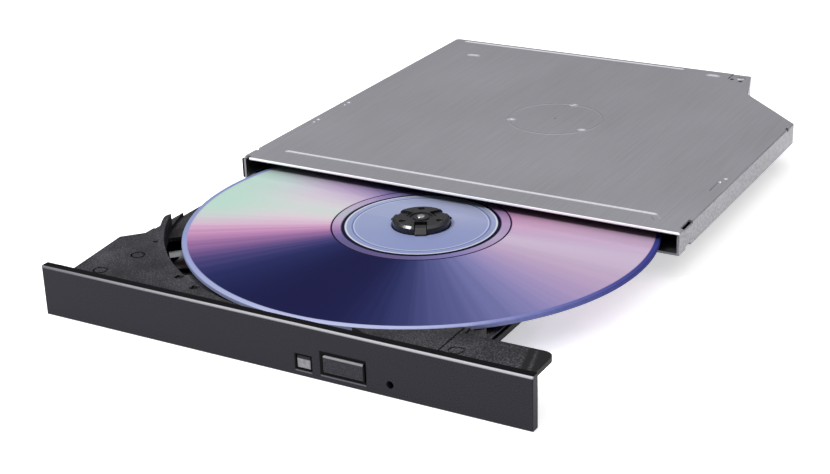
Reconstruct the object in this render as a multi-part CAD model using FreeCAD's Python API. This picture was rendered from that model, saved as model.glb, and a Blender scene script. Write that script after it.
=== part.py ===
import FreeCAD
import Part
import math
import os

# Slim internal disc drive with its tray drawn part of the way out.
# Millimetres, +Z up, +Y from the front to the rear. The origin is on the underside,
# in the middle of the case's front edge. Pieces that ride on the tray are drawn with
# y = 0 at the rear face of the front panel, and are then moved out with the tray.

# Case
case_width = 128.0
case_depth = 126.5
case_height = 12.7
sheet = 0.6
wing_height = 6.0
wing_width = 19.0
corner_cut = 1.0
top_bend = 0.5
chamfer_start = 37.5
chamfer_width = 20.4
slant_length = 17.3
slant_width = 25.4

# Pressed and fastened features of the case
bead_width = 2.2
bead_depth = 0.25
dent_depth = 0.3
floor_bead_width = 4.0
dent_slope = 0.5
dent_steps = 4
ear_drop = 0.3
mount_hole_radius = 0.8
collar_wall = 0.9
collar_length = 0.9
side_hole_y = (24.0, 94.0)
rear_hole_inset = (8.0, 23.0)
mount_hole_drop = 3.0

# Disc
disc_side_room = 4.0
disc_front_room = 4.8
disc_thickness = 1.2
disc_bore = 7.5
disc_axis_x = 1.0
disc_gap = 1.2

# Tray
tray_side_gap = 0.3
tray_rear_gap = 1.6
board_gap = 3.5
board_depth = 27.8
tray_wall = 1.4
tray_floor = 1.0
deck_gap = 0.5
deck_thickness = 1.2
well_room = 4.2
well_wall = 1.4
well_gap = 1.2
lug_gap = 1.0
lug_length = 7.0
lug_corner = 3.0
flange_length = 12.0
flange_thickness = 1.2
flange_side_gap = 0.4
flange_corner = 2.5
flange_drop = 0.3
closed_gap = 0.3
tray_out = 79.8

# Slide rails
rail_rise = 3.9
rail_sheet = 0.6
rail_play = 0.1
tongue_half = 0.6
rail_depth = 2.2
guide_front_y = 2.0
guide_rear_gap = 7.2
rail_front_y = 3.0
rail_overhang = 1.0

# Front panel
panel_overhang = 0.5
panel_height = 12.7
panel_thickness = 2.4
panel_round = 0.35
button_width = 10.9
button_height = 4.4
button_x = 14.0
button_z = 2.3
button_play = 0.2
button_proud = 0.4
button_travel = 0.6
window_width = 3.4
window_height = 3.0
window_x = 7.3
window_z = 2.1
pinhole_x = 30.8
pinhole_z = 3.1
pinhole_radius = 0.9

# Spindle and pickup carrier, drawn along the carrier's own axis
traverse_angle = 225.0
carrier_sheet = 0.8
carrier_half_width = 17.2
opening_half_width = 18.0
shaft_radius = 1.0
shaft_play = 0.05
rotor_radius = 12.0
rotor_height = 3.4
platform_radius = 13.5
hub_radius = 7.35
hub_rise = 2.0
claw_width = 3.0
claw_reach = 0.6
claw_travel = 0.8
claw_angles = (-62.0, 58.0, 178.0)
rod_radius = 1.2
rod_spread = 14.5
screw_radius = 1.0
screw_offset = -9.5
lens_rest = 26.0
lens_in = 2.5
lens_out = 32.0
lens_radius = 1.9
focus_travel = 0.4

# Levels worked out from the sizes above
wing_z = case_height - wing_height
wing_top = wing_z + sheet
disc_under = wing_top + disc_gap
disc_top = disc_under + disc_thickness
floor_top = disc_under - well_gap
floor_z = floor_top - tray_floor
deck_top = case_height - sheet - deck_gap
shield_sheet = 0.4
shield_z = 2 * sheet
tray_z = shield_z + shield_sheet
ledge_top = disc_under - 0.3
guide_top = wing_top - 0.4
ledge_z = guide_top + 0.2
rail_z = sheet + rail_rise
carrier_z = tray_z + 0.4
carrier_top = carrier_z + carrier_sheet
rod_z = carrier_top + 1.8
rotor_top = floor_top - 0.3
rotor_z = rotor_top - rotor_height
platform_top = disc_under - 0.3
platform_z = platform_top - 1.0
hub_top = disc_top + hub_rise
board_z = shield_z
board_top = board_z + 0.8

# Places in the case worked out from the sizes above
half_width = case_width / 2
step_x = half_width - wing_width
chamfer_front_y = case_depth - chamfer_start
chamfer_rear_x = half_width - chamfer_width
chamfer_rear_y = case_depth - slant_length
slant_rear_x = half_width - slant_width
left_wall_x = -half_width + 2 * sheet
right_wall_x = step_x - sheet
rear_wall_y = case_depth - 2 * sheet
board_front_y = rear_wall_y - board_depth
overrun = 1.0

# The disc is as wide as the case lets it be, and the well leaves room round it
disc_radius = half_width - disc_side_room
well_radius = disc_radius + well_room
disc_closed_y = disc_front_room + disc_radius
disc_tray_y = disc_closed_y + closed_gap
spindle = (disc_axis_x, disc_tray_y)

# Slide rails. Distances run inwards from the wall that carries the guide.
rail_gap = rail_sheet + rail_play
tongue_tip = rail_gap + rail_sheet + rail_play
rail_inner = tongue_half + rail_play
rail_outer = rail_inner + rail_sheet
arm_inner = rail_outer + rail_play
arm_reach = rail_gap + rail_depth
guide_length = chamfer_rear_y - guide_rear_gap - guide_front_y
rail_length = guide_length + rail_overhang

# The tray runs between the guides, and its rear end stops short of the board and the wall
tray_left_x = left_wall_x + arm_reach + tray_side_gap
tray_right_x = right_wall_x - arm_reach - tray_side_gap
tray_body_length = board_front_y - board_gap
tray_length = rear_wall_y - tray_rear_gap + closed_gap
tray_shift = -(tray_out + closed_gap)

# Small and hidden round pieces are drawn with this many flat sides
small_sides = 8
large_sides = 24

V = FreeCAD.Vector


def block(x, y, z):
    """Box between a low and a high value on each axis."""
    return Part.makeBox(x[1] - x[0], y[1] - y[0], z[1] - z[0], V(x[0], y[0], z[0]))


def prism(points, z):
    """Upright solid over a plan outline."""
    corners = [V(x, y, z[0]) for x, y in points]
    return Part.Face(Part.makePolygon(corners + corners[:1])).extrude(V(0, 0, z[1] - z[0]))


def column(centre, radius, z):
    """Upright round solid."""
    return Part.makeCylinder(radius, z[1] - z[0], V(centre[0], centre[1], z[0]))


def ring(centre, outer, inner, z):
    """Upright tube."""
    return column(centre, outer, z).cut(column(centre, inner, z))


def polygon(centre, radius, sides):
    """Corners of a regular outline, all on the radius."""
    turns = [2 * math.pi * (index + 0.5) / sides for index in range(sides)]
    return [(centre[0] + radius * math.cos(turn), centre[1] + radius * math.sin(turn))
            for turn in turns]


def peg(centre, radius, z, sides=small_sides):
    """Small round solid drawn with flat sides."""
    return prism(polygon(centre, radius, sides), z)


def peg_ring(centre, outer, inner, z, sides=small_sides):
    """Small tube drawn with flat sides."""
    return peg(centre, outer, z, sides).cut(peg(centre, inner, z, sides))


def stud(start, end, radius, sides=small_sides):
    """Small round solid from one point to another, drawn with flat sides."""
    along = V(*end) - V(*start)
    shape = peg((0, 0), radius, (0, along.Length), sides)
    shape.Placement = FreeCAD.Placement(V(*start), FreeCAD.Rotation(V(0, 0, 1), along))
    return shape


def rod(start, end, radius):
    """Round solid from one point to another."""
    along = V(*end) - V(*start)
    return Part.makeCylinder(radius, along.Length, V(*start), along)


def joined(first, *others):
    """One solid from several that touch or overlap."""
    return first.fuse(list(others)).removeSplitter()


def group(solids):
    """Separate solids kept side by side."""
    return Part.makeCompound(list(solids))


def inset(points, distance):
    """Anticlockwise outline drawn in by a distance on every side."""
    lines = []
    for (ax, ay), (bx, by) in zip(points, points[1:] + points[:1]):
        length = math.hypot(bx - ax, by - ay)
        shift_x = -(by - ay) / length * distance
        shift_y = (bx - ax) / length * distance
        lines.append((ax + shift_x, ay + shift_y, bx - ax, by - ay))
    corners = []
    for (ax, ay, adx, ady), (bx, by, bdx, bdy) in zip(lines[-1:] + lines[:-1], lines):
        share = ((bx - ax) * bdy - (by - ay) * bdx) / (adx * bdy - ady * bdx)
        corners.append((ax + adx * share, ay + ady * share))
    return corners


def upright_edges(shape, after_y=-1000.0):
    """Straight edges along Z that lie behind a given y."""
    found = []
    for edge in shape.Edges:
        box = edge.BoundBox
        if box.XLength < 1e-3 and box.YLength < 1e-3 and box.YMin > after_y:
            found.append(edge)
    return found


def level_edges(shape, z, after_y=-1000.0):
    """Edges that lie at one height and reach behind a given y."""
    found = []
    for edge in shape.Edges:
        box = edge.BoundBox
        if abs(box.ZMin - z) < 1e-3 and abs(box.ZMax - z) < 1e-3 and box.YMax > after_y:
            found.append(edge)
    return found


def frustum(low, low_z, high, high_z):
    """Solid between two level outlines whose sides run parallel."""
    below = [V(x, y, low_z) for x, y in low]
    above = [V(x, y, high_z) for x, y in high]
    faces = [Part.Face(Part.makePolygon(ring + ring[:1])) for ring in (below, above)]
    for index in range(len(below)):
        after = (index + 1) % len(below)
        corners = [below[index], below[after], above[after], above[index], below[index]]
        faces.append(Part.Face(Part.makePolygon(corners)))
    return Part.Solid(Part.Shell(faces))


def stadium(start, end, radius):
    """Outline round a straight line, with ends of a few flat sides."""
    heading = math.atan2(end[1] - start[1], end[0] - start[0])
    corners = []
    for place, first in ((end, heading - math.pi / 2), (start, heading + math.pi / 2)):
        for index in range(dent_steps + 1):
            turn = first + math.pi * index / dent_steps
            corners.append((place[0] + radius * math.cos(turn), place[1] + radius * math.sin(turn)))
    if start == end:
        corners = corners[:dent_steps] + corners[dent_steps + 1:-1]
    return corners


def dent_tool(start, end, width, depth, face_z, side):
    """Tool that presses a sloping-sided dent along a line; side is 1 for the top face."""
    above = 0.1
    slope = dent_slope * width / 2 / depth
    mouth = stadium(start, end, width / 2 + slope * above)
    bottom = stadium(start, end, width / 2 - slope * depth)
    return frustum(bottom, face_z - side * depth, mouth, face_z + side * above)


def pressed(shape, tool, depth, inner_z, side):
    """Presses a tool into sheet metal: a hollow outside and the same swelling inside."""
    low, high = sorted((inner_z, inner_z - side * depth))
    slab = block((-half_width, half_width), (-overrun, case_depth), (low, high))
    swelling = tool.translated(V(0, 0, -side * sheet)).common(slab)
    return shape.fuse(swelling).cut(tool)


def ribbon(path, thickness, along, low, high):
    """Flat ribbon with its centre line in an upright plane; along is 0 for x and 1 for y."""
    sides = []
    for offset in (thickness / 2, -thickness / 2):
        line = []
        for index, (s, z) in enumerate(path):
            before = path[max(index - 1, 0)]
            after = path[min(index + 1, len(path) - 1)]
            into = math.atan2(z - before[1], s - before[0]) if index else None
            out = math.atan2(after[1] - z, after[0] - s) if index < len(path) - 1 else into
            into = out if into is None else into
            half = math.remainder(out - into, 2 * math.pi) / 2
            reach = offset / math.cos(half)
            line.append((s - reach * math.sin(into + half), z + reach * math.cos(into + half)))
        sides.append(line)
    outline = sides[0] + sides[1][::-1]
    if along == 0:
        corners = [V(s, low, z) for s, z in outline]
        push = V(0, high - low, 0)
    else:
        corners = [V(low, s, z) for s, z in outline]
        push = V(high - low, 0, 0)
    return Part.Face(Part.makePolygon(corners + corners[:1])).extrude(push)


def half_turn(centre, radius, first_angle, last_angle, steps):
    """Points on an arc, for a ribbon that folds back on itself."""
    points = []
    for index in range(steps + 1):
        angle = math.radians(first_angle + (last_angle - first_angle) * index / steps)
        points.append((centre[0] + radius * math.cos(angle), centre[1] + radius * math.sin(angle)))
    return points


def on_tray(shape):
    """Moves a piece drawn in the tray's place out with the tray."""
    return shape.translated(V(0, tray_shift, 0))


def on_traverse(shape):
    """Turns a piece drawn along the carrier's axis and sets it under the disc."""
    turned = shape.rotated(V(0, 0, 0), V(0, 0, 1), traverse_angle)
    return turned.translated(V(disc_axis_x, disc_tray_y, 0))


def save(name, shape):
    """Writes one named piece."""
    shape.exportStep("parts/" + name + ".step")


# Case shells

def case_outline():
    return [(-half_width, 0), (half_width, 0), (half_width, chamfer_front_y),
            (chamfer_rear_x, chamfer_rear_y), (slant_rear_x, case_depth),
            (-half_width + corner_cut, case_depth), (-half_width, case_depth - corner_cut)]


def case_solid(margin, front_y, z):
    """The case's plan drawn in by a margin, with its open front at a given y."""
    points = inset(case_outline(), margin)
    points[0] = (points[0][0], front_y)
    points[1] = (points[1][0], front_y)
    return prism(points, z)


ear_polygon = [(slant_rear_x - 5.6, case_depth + 1), (slant_rear_x - 5.6, case_depth - 5.5),
               (slant_rear_x + 2.4, case_depth - 13.5), (slant_rear_x + 12, case_depth - 13.5),
               (slant_rear_x + 12, case_depth + 1)]
ear_under = case_height - ear_drop - sheet
ear_screw = (slant_rear_x - 2.2, case_depth - 3.3)
ear_tab_thickness = 0.8
mount_hole_z = case_height - mount_hole_drop
cover_screw_x = (-20.0, 20.0)
cover_screw_head = 1.5
cover_screw_shank = 0.8
screw_play = 0.05


def mount_holes(radius, length):
    """Drills for the two side and the two rear mounting screws."""
    drills = []
    for y in side_hole_y:
        x = -half_width
        drills.append(rod((x - 1, y, mount_hole_z), (x + length, y, mount_hole_z), radius))
    for hole_inset in rear_hole_inset:
        x = -half_width + hole_inset
        y = case_depth
        drills.append(rod((x, y + 1, mount_hole_z), (x, y - length, mount_hole_z), radius))
    return drills


def top_cover():
    shell = case_solid(0, 0, (wing_z, case_height))
    shell = shell.makeFillet(top_bend, level_edges(shell, case_height, 0.5))
    shell = shell.cut(case_solid(sheet, -overrun, (wing_z - 1, case_height - sheet)))
    edge_x = half_width - 2.4
    rear_y = case_depth - 2.3
    dents = []
    for angle in (90, 210, 330):
        turn = math.radians(angle)
        place = (disc_axis_x + 12.8 * math.cos(turn), disc_closed_y + 12.8 * math.sin(turn))
        dents.append((place, place, 3.2, dent_depth))
    dents += [
        ((slant_rear_x - 11.5, case_depth - 5.2), (slant_rear_x - 9.5, case_depth - 5.2),
         3.2, dent_depth),
        ((-half_width + 13.4, case_depth - 15.8), (-half_width + 15.4, case_depth - 15.8),
         3.2, dent_depth),
        ((-half_width + 9.5, 8.6), (half_width - 10, 8.6), bead_width, bead_depth),
        ((half_width - 10, 8.6), (half_width - 8.3, 6.4), bead_width, bead_depth),
        ((-half_width + 4.5, rear_y), (slant_rear_x - 21.5, rear_y), 1.2, 0.2),
        ((edge_x - 0.6, 30.0), (edge_x - 0.6, 36.4), 1.0, 0.25),
        ((edge_x, 39.1), (edge_x, 39.1), 1.5, 0.25),
        ((-edge_x, 18.4), (-edge_x, 33.2), 0.8, 0.2),
        ((-edge_x, 35.5), (-edge_x, 35.5), 1.4, 0.25),
        ((-edge_x, 38.4), (-edge_x, 50.3), 0.8, 0.2),
        ((-edge_x, 52.6), (-edge_x, 52.6), 1.4, 0.25)]
    for start, end, width, depth in dents:
        tool = dent_tool(start, end, width, depth, case_height, 1)
        if depth < dent_depth:
            shell = shell.cut(tool)
        else:
            shell = pressed(shell, tool, depth, case_height - sheet, 1)
    pad = case_solid(0, 0, (ear_under, case_height - ear_drop)).common(
        prism(ear_polygon, (ear_under, case_height)))
    shell = shell.cut(prism(ear_polygon, (case_height - ear_drop, case_height + 1))).fuse(pad)
    notches = [
        block((-half_width - 1, -half_width + 2.4), (-1, 1.5), (case_height - sheet, case_height + 1)),
        block((-half_width - 1, -half_width + 1.1), (6.2, 8.2), (case_height - 1.1, case_height + 1)),
        block((half_width - 1.1, half_width + 1), (3.0, 9.2), (case_height - 0.9, case_height + 1)),
        block((half_width - 0.7, half_width + 1), (chamfer_front_y - 6.0, chamfer_front_y - 4.8),
              (case_height - 0.9, case_height + 1)),
        block((half_width - 0.7, half_width + 1), (4.5, 8.0), (wing_z - 1, wing_z + 0.8)),
        block((ear_screw[0] - 2.7, ear_screw[0] - 1.7), (ear_screw[1] - 2.3, ear_screw[1] - 1.1),
              (ear_under - 1, case_height)),
        block((ear_screw[0] + 0.3, ear_screw[0] + 1.5), (ear_screw[1] - 3.4, ear_screw[1] - 2.2),
              (ear_under - 1, case_height)),
        peg(ear_screw, cover_screw_shank + screw_play, (ear_under - 1, case_height)),
        peg((disc_axis_x, disc_closed_y), 0.45, (case_height - 0.15, case_height + 1)),
    ]
    notches += mount_holes(mount_hole_radius, sheet + 0.1)
    for x in cover_screw_x:
        notches.append(stud((x, case_depth + 1, mount_hole_z),
                            (x, case_depth - sheet - 0.1, mount_hole_z), cover_screw_head + screw_play))
    return shell.cut(notches).removeSplitter()


connector_x = (slant_rear_x - 30.6, slant_rear_x - 2.6)
connector_y = (case_depth - 7.5, case_depth - 0.3)
connector_z = (board_top, board_top + 3.7)
board_x = (left_wall_x + 4.8, right_wall_x - 4.4)
board_rear_y = rear_wall_y - 0.8
standoffs = [(board_x[0] + 3.5, board_front_y + 3.5), (board_x[1] - 32.0, board_front_y + 4.0),
             (board_x[0] + 38.0, board_rear_y - 3.5), (board_x[1] - 2.4, board_front_y + 6.5)]
standoff_radius = 2.2
board_screw_shank = 0.7
floor_bead_x = (left_wall_x + 14.8, right_wall_x - 36.4)
floor_bead_y = (24.0, 56.0, 88.0)


def bottom_chassis():
    inside_x = step_x - sheet
    body = case_solid(sheet, 0, (0, case_height - sheet)).common(
        block((-half_width, step_x), (0, case_depth), (0, case_height)))
    hollow = case_solid(2 * sheet, -overrun, (sheet, case_height)).common(
        block((-half_width, inside_x), (-overrun, case_depth), (0, case_height)))
    body = body.cut(hollow)
    low_side = block((inside_x - 3, half_width), (-overrun, chamfer_rear_y + 2.3),
                     (wing_top, case_height))
    body = body.cut(low_side)
    wing = case_solid(sheet, 0, (wing_z, wing_top)).common(
        block((inside_x, half_width), (0, case_depth), (0, case_height)))
    body = body.fuse(wing)
    for y in floor_bead_y:
        start, end = [(x, y) for x in floor_bead_x]
        tool = dent_tool(start, end, floor_bead_width, dent_depth, 0, -1)
        body = pressed(body, tool, dent_depth, sheet, -1)
    added = [peg(place, standoff_radius, (sheet, board_z)) for place in standoffs]
    added += mount_collars()
    added.append(block((ear_screw[0] - 2.9, ear_screw[0] + 1.6), (ear_screw[1] - 3.7, rear_wall_y),
                       (ear_under - ear_tab_thickness, ear_under)))
    body = body.fuse(added)
    cuts = mount_holes(mount_hole_radius, 2 * sheet + collar_length + 0.1)
    cuts += [peg(place, board_screw_shank, (-1, board_z + 1)) for place in standoffs]
    cuts.append(prism(ear_polygon, (ear_under, case_height)))
    cuts.append(peg(ear_screw, cover_screw_shank, (ear_under - 2, case_height)))
    cuts.append(block((connector_x[0] - 0.2, connector_x[1] + 0.2), (rear_wall_y - 1, case_depth),
                      (connector_z[0] - 0.2, connector_z[1] + 0.2)))
    for x in cover_screw_x:
        cuts.append(stud((x, case_depth, mount_hole_z), (x, rear_wall_y - 2, mount_hole_z),
                         cover_screw_shank))
    return body.cut(cuts).removeSplitter()


def mount_collars():
    """Drawn collars that give the mounting threads their length."""
    outer = mount_hole_radius + collar_wall
    collars = []
    for y in side_hole_y:
        x = left_wall_x
        collars.append(stud((x, y, mount_hole_z), (x + collar_length, y, mount_hole_z), outer))
    for hole_inset in rear_hole_inset:
        x = -half_width + hole_inset
        y = rear_wall_y
        collars.append(stud((x, y, mount_hole_z), (x, y - collar_length, mount_hole_z), outer))
    return collars


def cover_screws():
    head = 0.5
    pad_top = case_height - ear_drop
    screws = [joined(peg(ear_screw, cover_screw_head, (pad_top, case_height)),
                     peg(ear_screw, cover_screw_shank, (ear_under - 1.2, pad_top)))]
    for x in cover_screw_x:
        seat = (x, case_depth - 0.1 - head, mount_hole_z)
        screws.append(joined(stud((x, case_depth - 0.1, mount_hole_z), seat, cover_screw_head),
                             stud(seat, (x, rear_wall_y - 1.2, mount_hole_z), cover_screw_shank)))
    return group(screws)


# Slide rails

def side_block(side, depth, y, z):
    """Box whose x runs inwards from the left (-1) or the right (1) wall."""
    wall = left_wall_x if side < 0 else right_wall_x
    low, high = sorted((wall - side * depth[0], wall - side * depth[1]))
    return block((low, high), y, z)


def case_guide(side):
    y = (guide_front_y, guide_front_y + guide_length)
    return joined(side_block(side, (0, rail_sheet), y, (sheet, guide_top)),
                  side_block(side, (0, arm_reach), y, (rail_z + arm_inner, guide_top)),
                  side_block(side, (0, arm_reach), y, (sheet, rail_z - arm_inner)))


def slide_rail(side):
    front = rail_front_y - closed_gap + tray_shift / 2 + closed_gap / 2
    y = (front, front + rail_length)
    return joined(side_block(side, (rail_gap, rail_gap + rail_sheet), y,
                             (rail_z - rail_outer, rail_z + rail_outer)),
                  side_block(side, (rail_gap, arm_reach), y,
                             (rail_z + rail_inner, rail_z + rail_outer)),
                  side_block(side, (rail_gap, arm_reach), y,
                             (rail_z - rail_outer, rail_z - rail_inner)))


# Tray

flange_x = half_width - sheet - flange_side_gap
flange_top = deck_top - flange_drop
right_block_y = (flange_length + 1.0, flange_length + 8.5)
deck_split_x = tray_right_x - 1.0
deck_corner_y = disc_tray_y - 43.1
deck_step_y = disc_tray_y - 36.5
deck_rear_y = disc_tray_y - 31.1
well_end_y = disc_tray_y - 24.1
rear_rim_y = disc_tray_y + 30.9
corner_start_y = tray_length - 18.0
lane_x = (tray_right_x - 24.7, tray_right_x - 2.7)
ejector_x = tray_left_x + 7.6
ejector_z = sheet + 3.6
rib_y = (tray_body_length - 13.2, tray_body_length - 12.0)
tray_board_x = (tray_right_x - 52.2, tray_right_x - 4.2)
tray_board_y = (2.0, 10.5)
tray_board_z = tray_z + 0.3
tray_board_top = tray_board_z + 0.8
tray_board_screws = [(tray_board_x[0] + 2.6, 7.6), (tray_board_x[1] - 3.4, 8.0)]
shield_screws = [(tray_left_x + 4.8, 5.0), (tray_left_x + 3.4, disc_tray_y + 6.9),
                 (lane_x[0] - 6.5, tray_body_length - 6.0), (lane_x[0] - 6.0, 31.0),
                 (tray_left_x + 29.6, tray_body_length - 4.0)]
shield_screw_head = 1.3
shield_screw_shank = 0.6
boss_radius = 1.7
shank_sides = 6
window_u = (-16.0, well_radius - 0.5)
rim_end_u = well_radius - 2.5
chassis_end = well_radius + 5.2
clip_x = (tray_left_x + 9.6, tray_right_x - 6.2, flange_x - 7.0)
clip_z = (8.6, 9.4)
clip_half = 1.5
damper_places = [(4.0, rod_spread + 0.5), (4.0, -rod_spread - 0.5), (chassis_end - 3.0, 0.0)]
damper_boss = 2.0
damper_screw_shank = 0.8
flex_clamp_y = (tray_body_length - 6.0, tray_body_length - 2.0)
flex_clamp_z = rail_z - 1.4
pivot = (lane_x[0] + 9.5, 28.0)
pivot_radius = 1.0


# Small marks along the well's edge: angle round the spindle, and distance beyond the edge
well_marks = [(239.6, 1.3), (246.3, 1.2), (261.6, 0.0)]


def deck_plan(margin):
    step_in_x = tray_left_x + 5.2
    outline = [(tray_left_x + 1.6, 0), (tray_right_x, 0), (tray_right_x, deck_rear_y),
               (step_in_x, deck_rear_y), (step_in_x, deck_step_y), (tray_left_x - 0.8, deck_corner_y)]
    return inset(outline, margin)


def boss_top(place):
    """Height at which a boss meets the floor of the well, or the deck beside it."""
    from_spindle = math.hypot(place[0] - spindle[0], place[1] - spindle[1])
    return floor_z if from_spindle < well_radius else deck_top - deck_thickness


def traverse_window(margin, z):
    """Opening under the disc for the spindle and the pickup carrier."""
    half = opening_half_width + margin
    return on_traverse(block((window_u[0] - margin, window_u[1] + margin), (-half, half), z))


def tray_frame():
    base = block((tray_left_x, tray_right_x), (0, tray_body_length), (tray_z, floor_top))
    shelf = block((tray_left_x, tray_right_x), (tray_body_length - 1, tray_length), (floor_z, floor_top))
    deck = prism(deck_plan(0), (ledge_z, deck_top))
    wall_ring = ring(spindle, well_radius + well_wall, well_radius - 0.2, (floor_z, deck_top)).common(
        block((tray_left_x - 1.4, tray_right_x), (0, well_end_y), (0, deck_top)))
    end_lug = ring(spindle, well_radius + well_wall, disc_radius + lug_gap, (floor_z, deck_top)).common(
        block((tray_left_x - 1.4, disc_axis_x), (well_end_y - lug_length, well_end_y), (0, deck_top)))
    wall_ring = wall_ring.fuse(end_lug).removeSplitter()
    wall_ring = wall_ring.makeFillet(lug_corner, [min(upright_edges(wall_ring, well_end_y - 0.1),
                                                      key=lambda edge: edge.BoundBox.XMin)])
    lug = block((tray_left_x + 2.2, tray_left_x + 5.6), (deck_step_y - 0.2, deck_step_y + 3.0),
                (ledge_z, deck_top - 0.8))
    left_ledge = block((tray_left_x - 1.4, tray_left_x + tray_wall),
                       (deck_corner_y - 2.0, tray_body_length + 2.0), (ledge_z, ledge_top))
    right_ledge = block((tray_right_x - tray_wall, tray_right_x + 2.7), (9.0, corner_start_y),
                        (ledge_z, ledge_top))
    right_block = block((tray_right_x - 1, tray_right_x + 2.7), right_block_y,
                        (ledge_z, deck_top - 0.8))
    flange = block((tray_right_x - tray_wall, flange_x), (0, flange_length),
                   (flange_top - flange_thickness, flange_top))
    flange = flange.makeFillet(flange_corner, [edge for edge in upright_edges(flange, 1.0)
                                               if edge.BoundBox.XMin > tray_right_x])
    flange_rib = block((tray_right_x - tray_wall, flange_x - 3.4), (0, tray_wall),
                       (disc_under - 0.5, flange_top))
    rear_rim = ring(spindle, well_radius + 1.0, well_radius - 0.2, (floor_z, floor_top + 2.2)).common(
        block((tray_left_x, disc_axis_x + 22.0), (rear_rim_y, tray_length), (0, deck_top)))
    tongues = [side_block(side, (tongue_tip, arm_reach + rail_play + tray_wall), (2, tray_body_length),
                          (rail_z - tongue_half, rail_z + tongue_half)) for side in (-1, 1)]
    solid = base.fuse([shelf, deck, wall_ring, lug, left_ledge, right_ledge, right_block,
                       flange, flange_rib, rear_rim] + tongues)
    solid = solid.cut(tray_hollows()).fuse(tray_ribs()).cut(tray_holes())
    return solid.removeSplitter()


def tray_hollows():
    """The disc well, and the pockets under the deck and the floor."""
    inside = (tray_left_x + tray_wall, tray_right_x - tray_wall)
    outside_x = tray_right_x + 5.0
    corner_x = tray_right_x - 10.2
    rear_corner = prism([(tray_right_x, corner_start_y), (outside_x, corner_start_y),
                         (outside_x, tray_length + overrun), (corner_x, tray_length + overrun),
                         (corner_x, tray_length)], (0, case_height))
    under_deck = prism(deck_plan(tray_wall), (ledge_z + tray_floor, deck_top - deck_thickness))
    under_deck = under_deck.cut(column(spindle, well_radius + well_wall, (0, case_height)))
    low_deck = block(inside, (tray_wall, deck_rear_y - tray_wall),
                     (floor_z - 0.1, ledge_z + tray_floor + 0.1))
    low_deck = low_deck.cut(column(spindle, well_radius + well_wall, (0, case_height)))
    return [column(spindle, well_radius, (floor_top, case_height)),
            block(inside, (tray_wall, tray_body_length - tray_wall), (tray_z - 1, floor_z)),
            rear_corner, under_deck, low_deck]


def tray_ribs():
    """Bosses, the rim round the window, and what hangs from the floor."""
    ribs = []
    rim = traverse_window(tray_wall, (carrier_top + 0.4, floor_z + 0.1)).cut(
        traverse_window(0, (0, floor_top + 1)))
    outer_end = on_traverse(block((rim_end_u, chassis_end), (-30, 30), (0, floor_top)))
    ribs.append(rim.cut(outer_end))
    for place in shield_screws:
        ribs.append(peg(place, boss_radius, (tray_z, boss_top(place) + 0.1)))
    for place in tray_board_screws:
        ribs.append(peg(place, boss_radius, (tray_board_top, boss_top(place) + 0.1)))
    for u, v in damper_places:
        top = floor_z if v else floor_top
        ribs.append(on_traverse(peg((u, v), damper_boss, (carrier_top + 0.4, top))))
        if v:
            reach = sorted((v, math.copysign(opening_half_width + 0.5, v)))
            ribs.append(on_traverse(block((u - 1.2, u + 1.2), reach, (carrier_top + 0.4, floor_z))))
    ribs.append(block((ejector_x - 2.6, ejector_x + 2.6), rib_y, (tray_z + 0.6, floor_z + 0.1)))
    ribs.append(block((lane_x[1] - 14.5, lane_x[1] + 0.2), flex_clamp_y, (flex_clamp_z, floor_z + 0.1)))
    ribs.append(peg(pivot, pivot_radius + 0.8, (rail_z + 0.4, floor_z + 0.1)))
    ribs.append(column(pivot, pivot_radius, (rail_z - 1.7, rail_z + 0.5)))
    return ribs


def tray_holes():
    """Cut-outs in the walls and the deck."""
    z_rear = (tray_z - 1, floor_z)
    y_rear = (tray_body_length - tray_wall - 0.1, tray_body_length + 0.1)
    y_front = (-1, tray_wall + 0.1)
    window = traverse_window(0, (floor_z - 0.1, floor_top + 0.1))
    holes = [window.common(column(spindle, well_radius - 0.1, (0, case_height))),
             block(lane_x, y_rear, z_rear),
             block((ejector_x - 3.2, ejector_x + 3.2), y_rear, z_rear),
             block((button_x - 0.7, button_x + button_width + 0.7), y_front,
                   (tray_z - 1, button_z + button_height + 0.7)),
             block((window_x - 0.7, window_x + window_width + 0.7), y_front,
                   (tray_z - 1, window_z + window_height + 0.7)),
             stud((pinhole_x, -1, pinhole_z), (pinhole_x, tray_wall + 1, pinhole_z), pinhole_radius + 0.2),
             block((deck_split_x, tray_right_x + 0.1), (-1, 20), (flange_top, case_height))]
    for x in clip_x:
        holes.append(block((x - clip_half - 0.1, x + clip_half + 0.1), y_front,
                           (clip_z[0] - 0.1, clip_z[1] + 0.1)))
    for place in [(tray_left_x + 10.5, 14.7), (tray_left_x + 8.0, 3.6), (tray_right_x + 2.4, 4.0)]:
        holes.append(peg_ring(place, 1.9, 1.4, (flange_top - 0.3, case_height), 10))
    holes.append(peg((tray_left_x + 9.2, deck_corner_y + 1.3), 0.7, (deck_top - 0.9, case_height)))
    for angle, beyond in well_marks:
        x = disc_axis_x + (well_radius + beyond) * math.cos(math.radians(angle))
        y = disc_tray_y + (well_radius + beyond) * math.sin(math.radians(angle))
        holes.append(block((x - 1.0, x + 1.0), (y - 1.0, y + 0.9), (deck_top - 0.6, case_height)))
    middle_x = disc_axis_x + 16.5
    lens_cut = column((middle_x, -5.7), 9.0, (deck_top - 0.8, case_height)).common(
        block((middle_x - 7.5, middle_x + 7.5), (1.6, 6), (0, case_height)))
    holes.append(lens_cut)
    diamond = block((-1.1, 1.1), (-1.1, 1.1), (0, case_height)).rotated(V(0, 0, 0), V(0, 0, 1), 45)
    holes.append(diamond.translated(V(tray_right_x + 1.0, right_block_y[0] + 3.4, ledge_top)))
    for place in shield_screws + tray_board_screws:
        holes.append(peg(place, shield_screw_shank, (tray_z - 1, floor_z - 1.0), shank_sides))
    for place in damper_places:
        holes.append(on_traverse(peg(place, damper_screw_shank, (tray_z, floor_z - 0.8), shank_sides)))
    return holes


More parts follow.
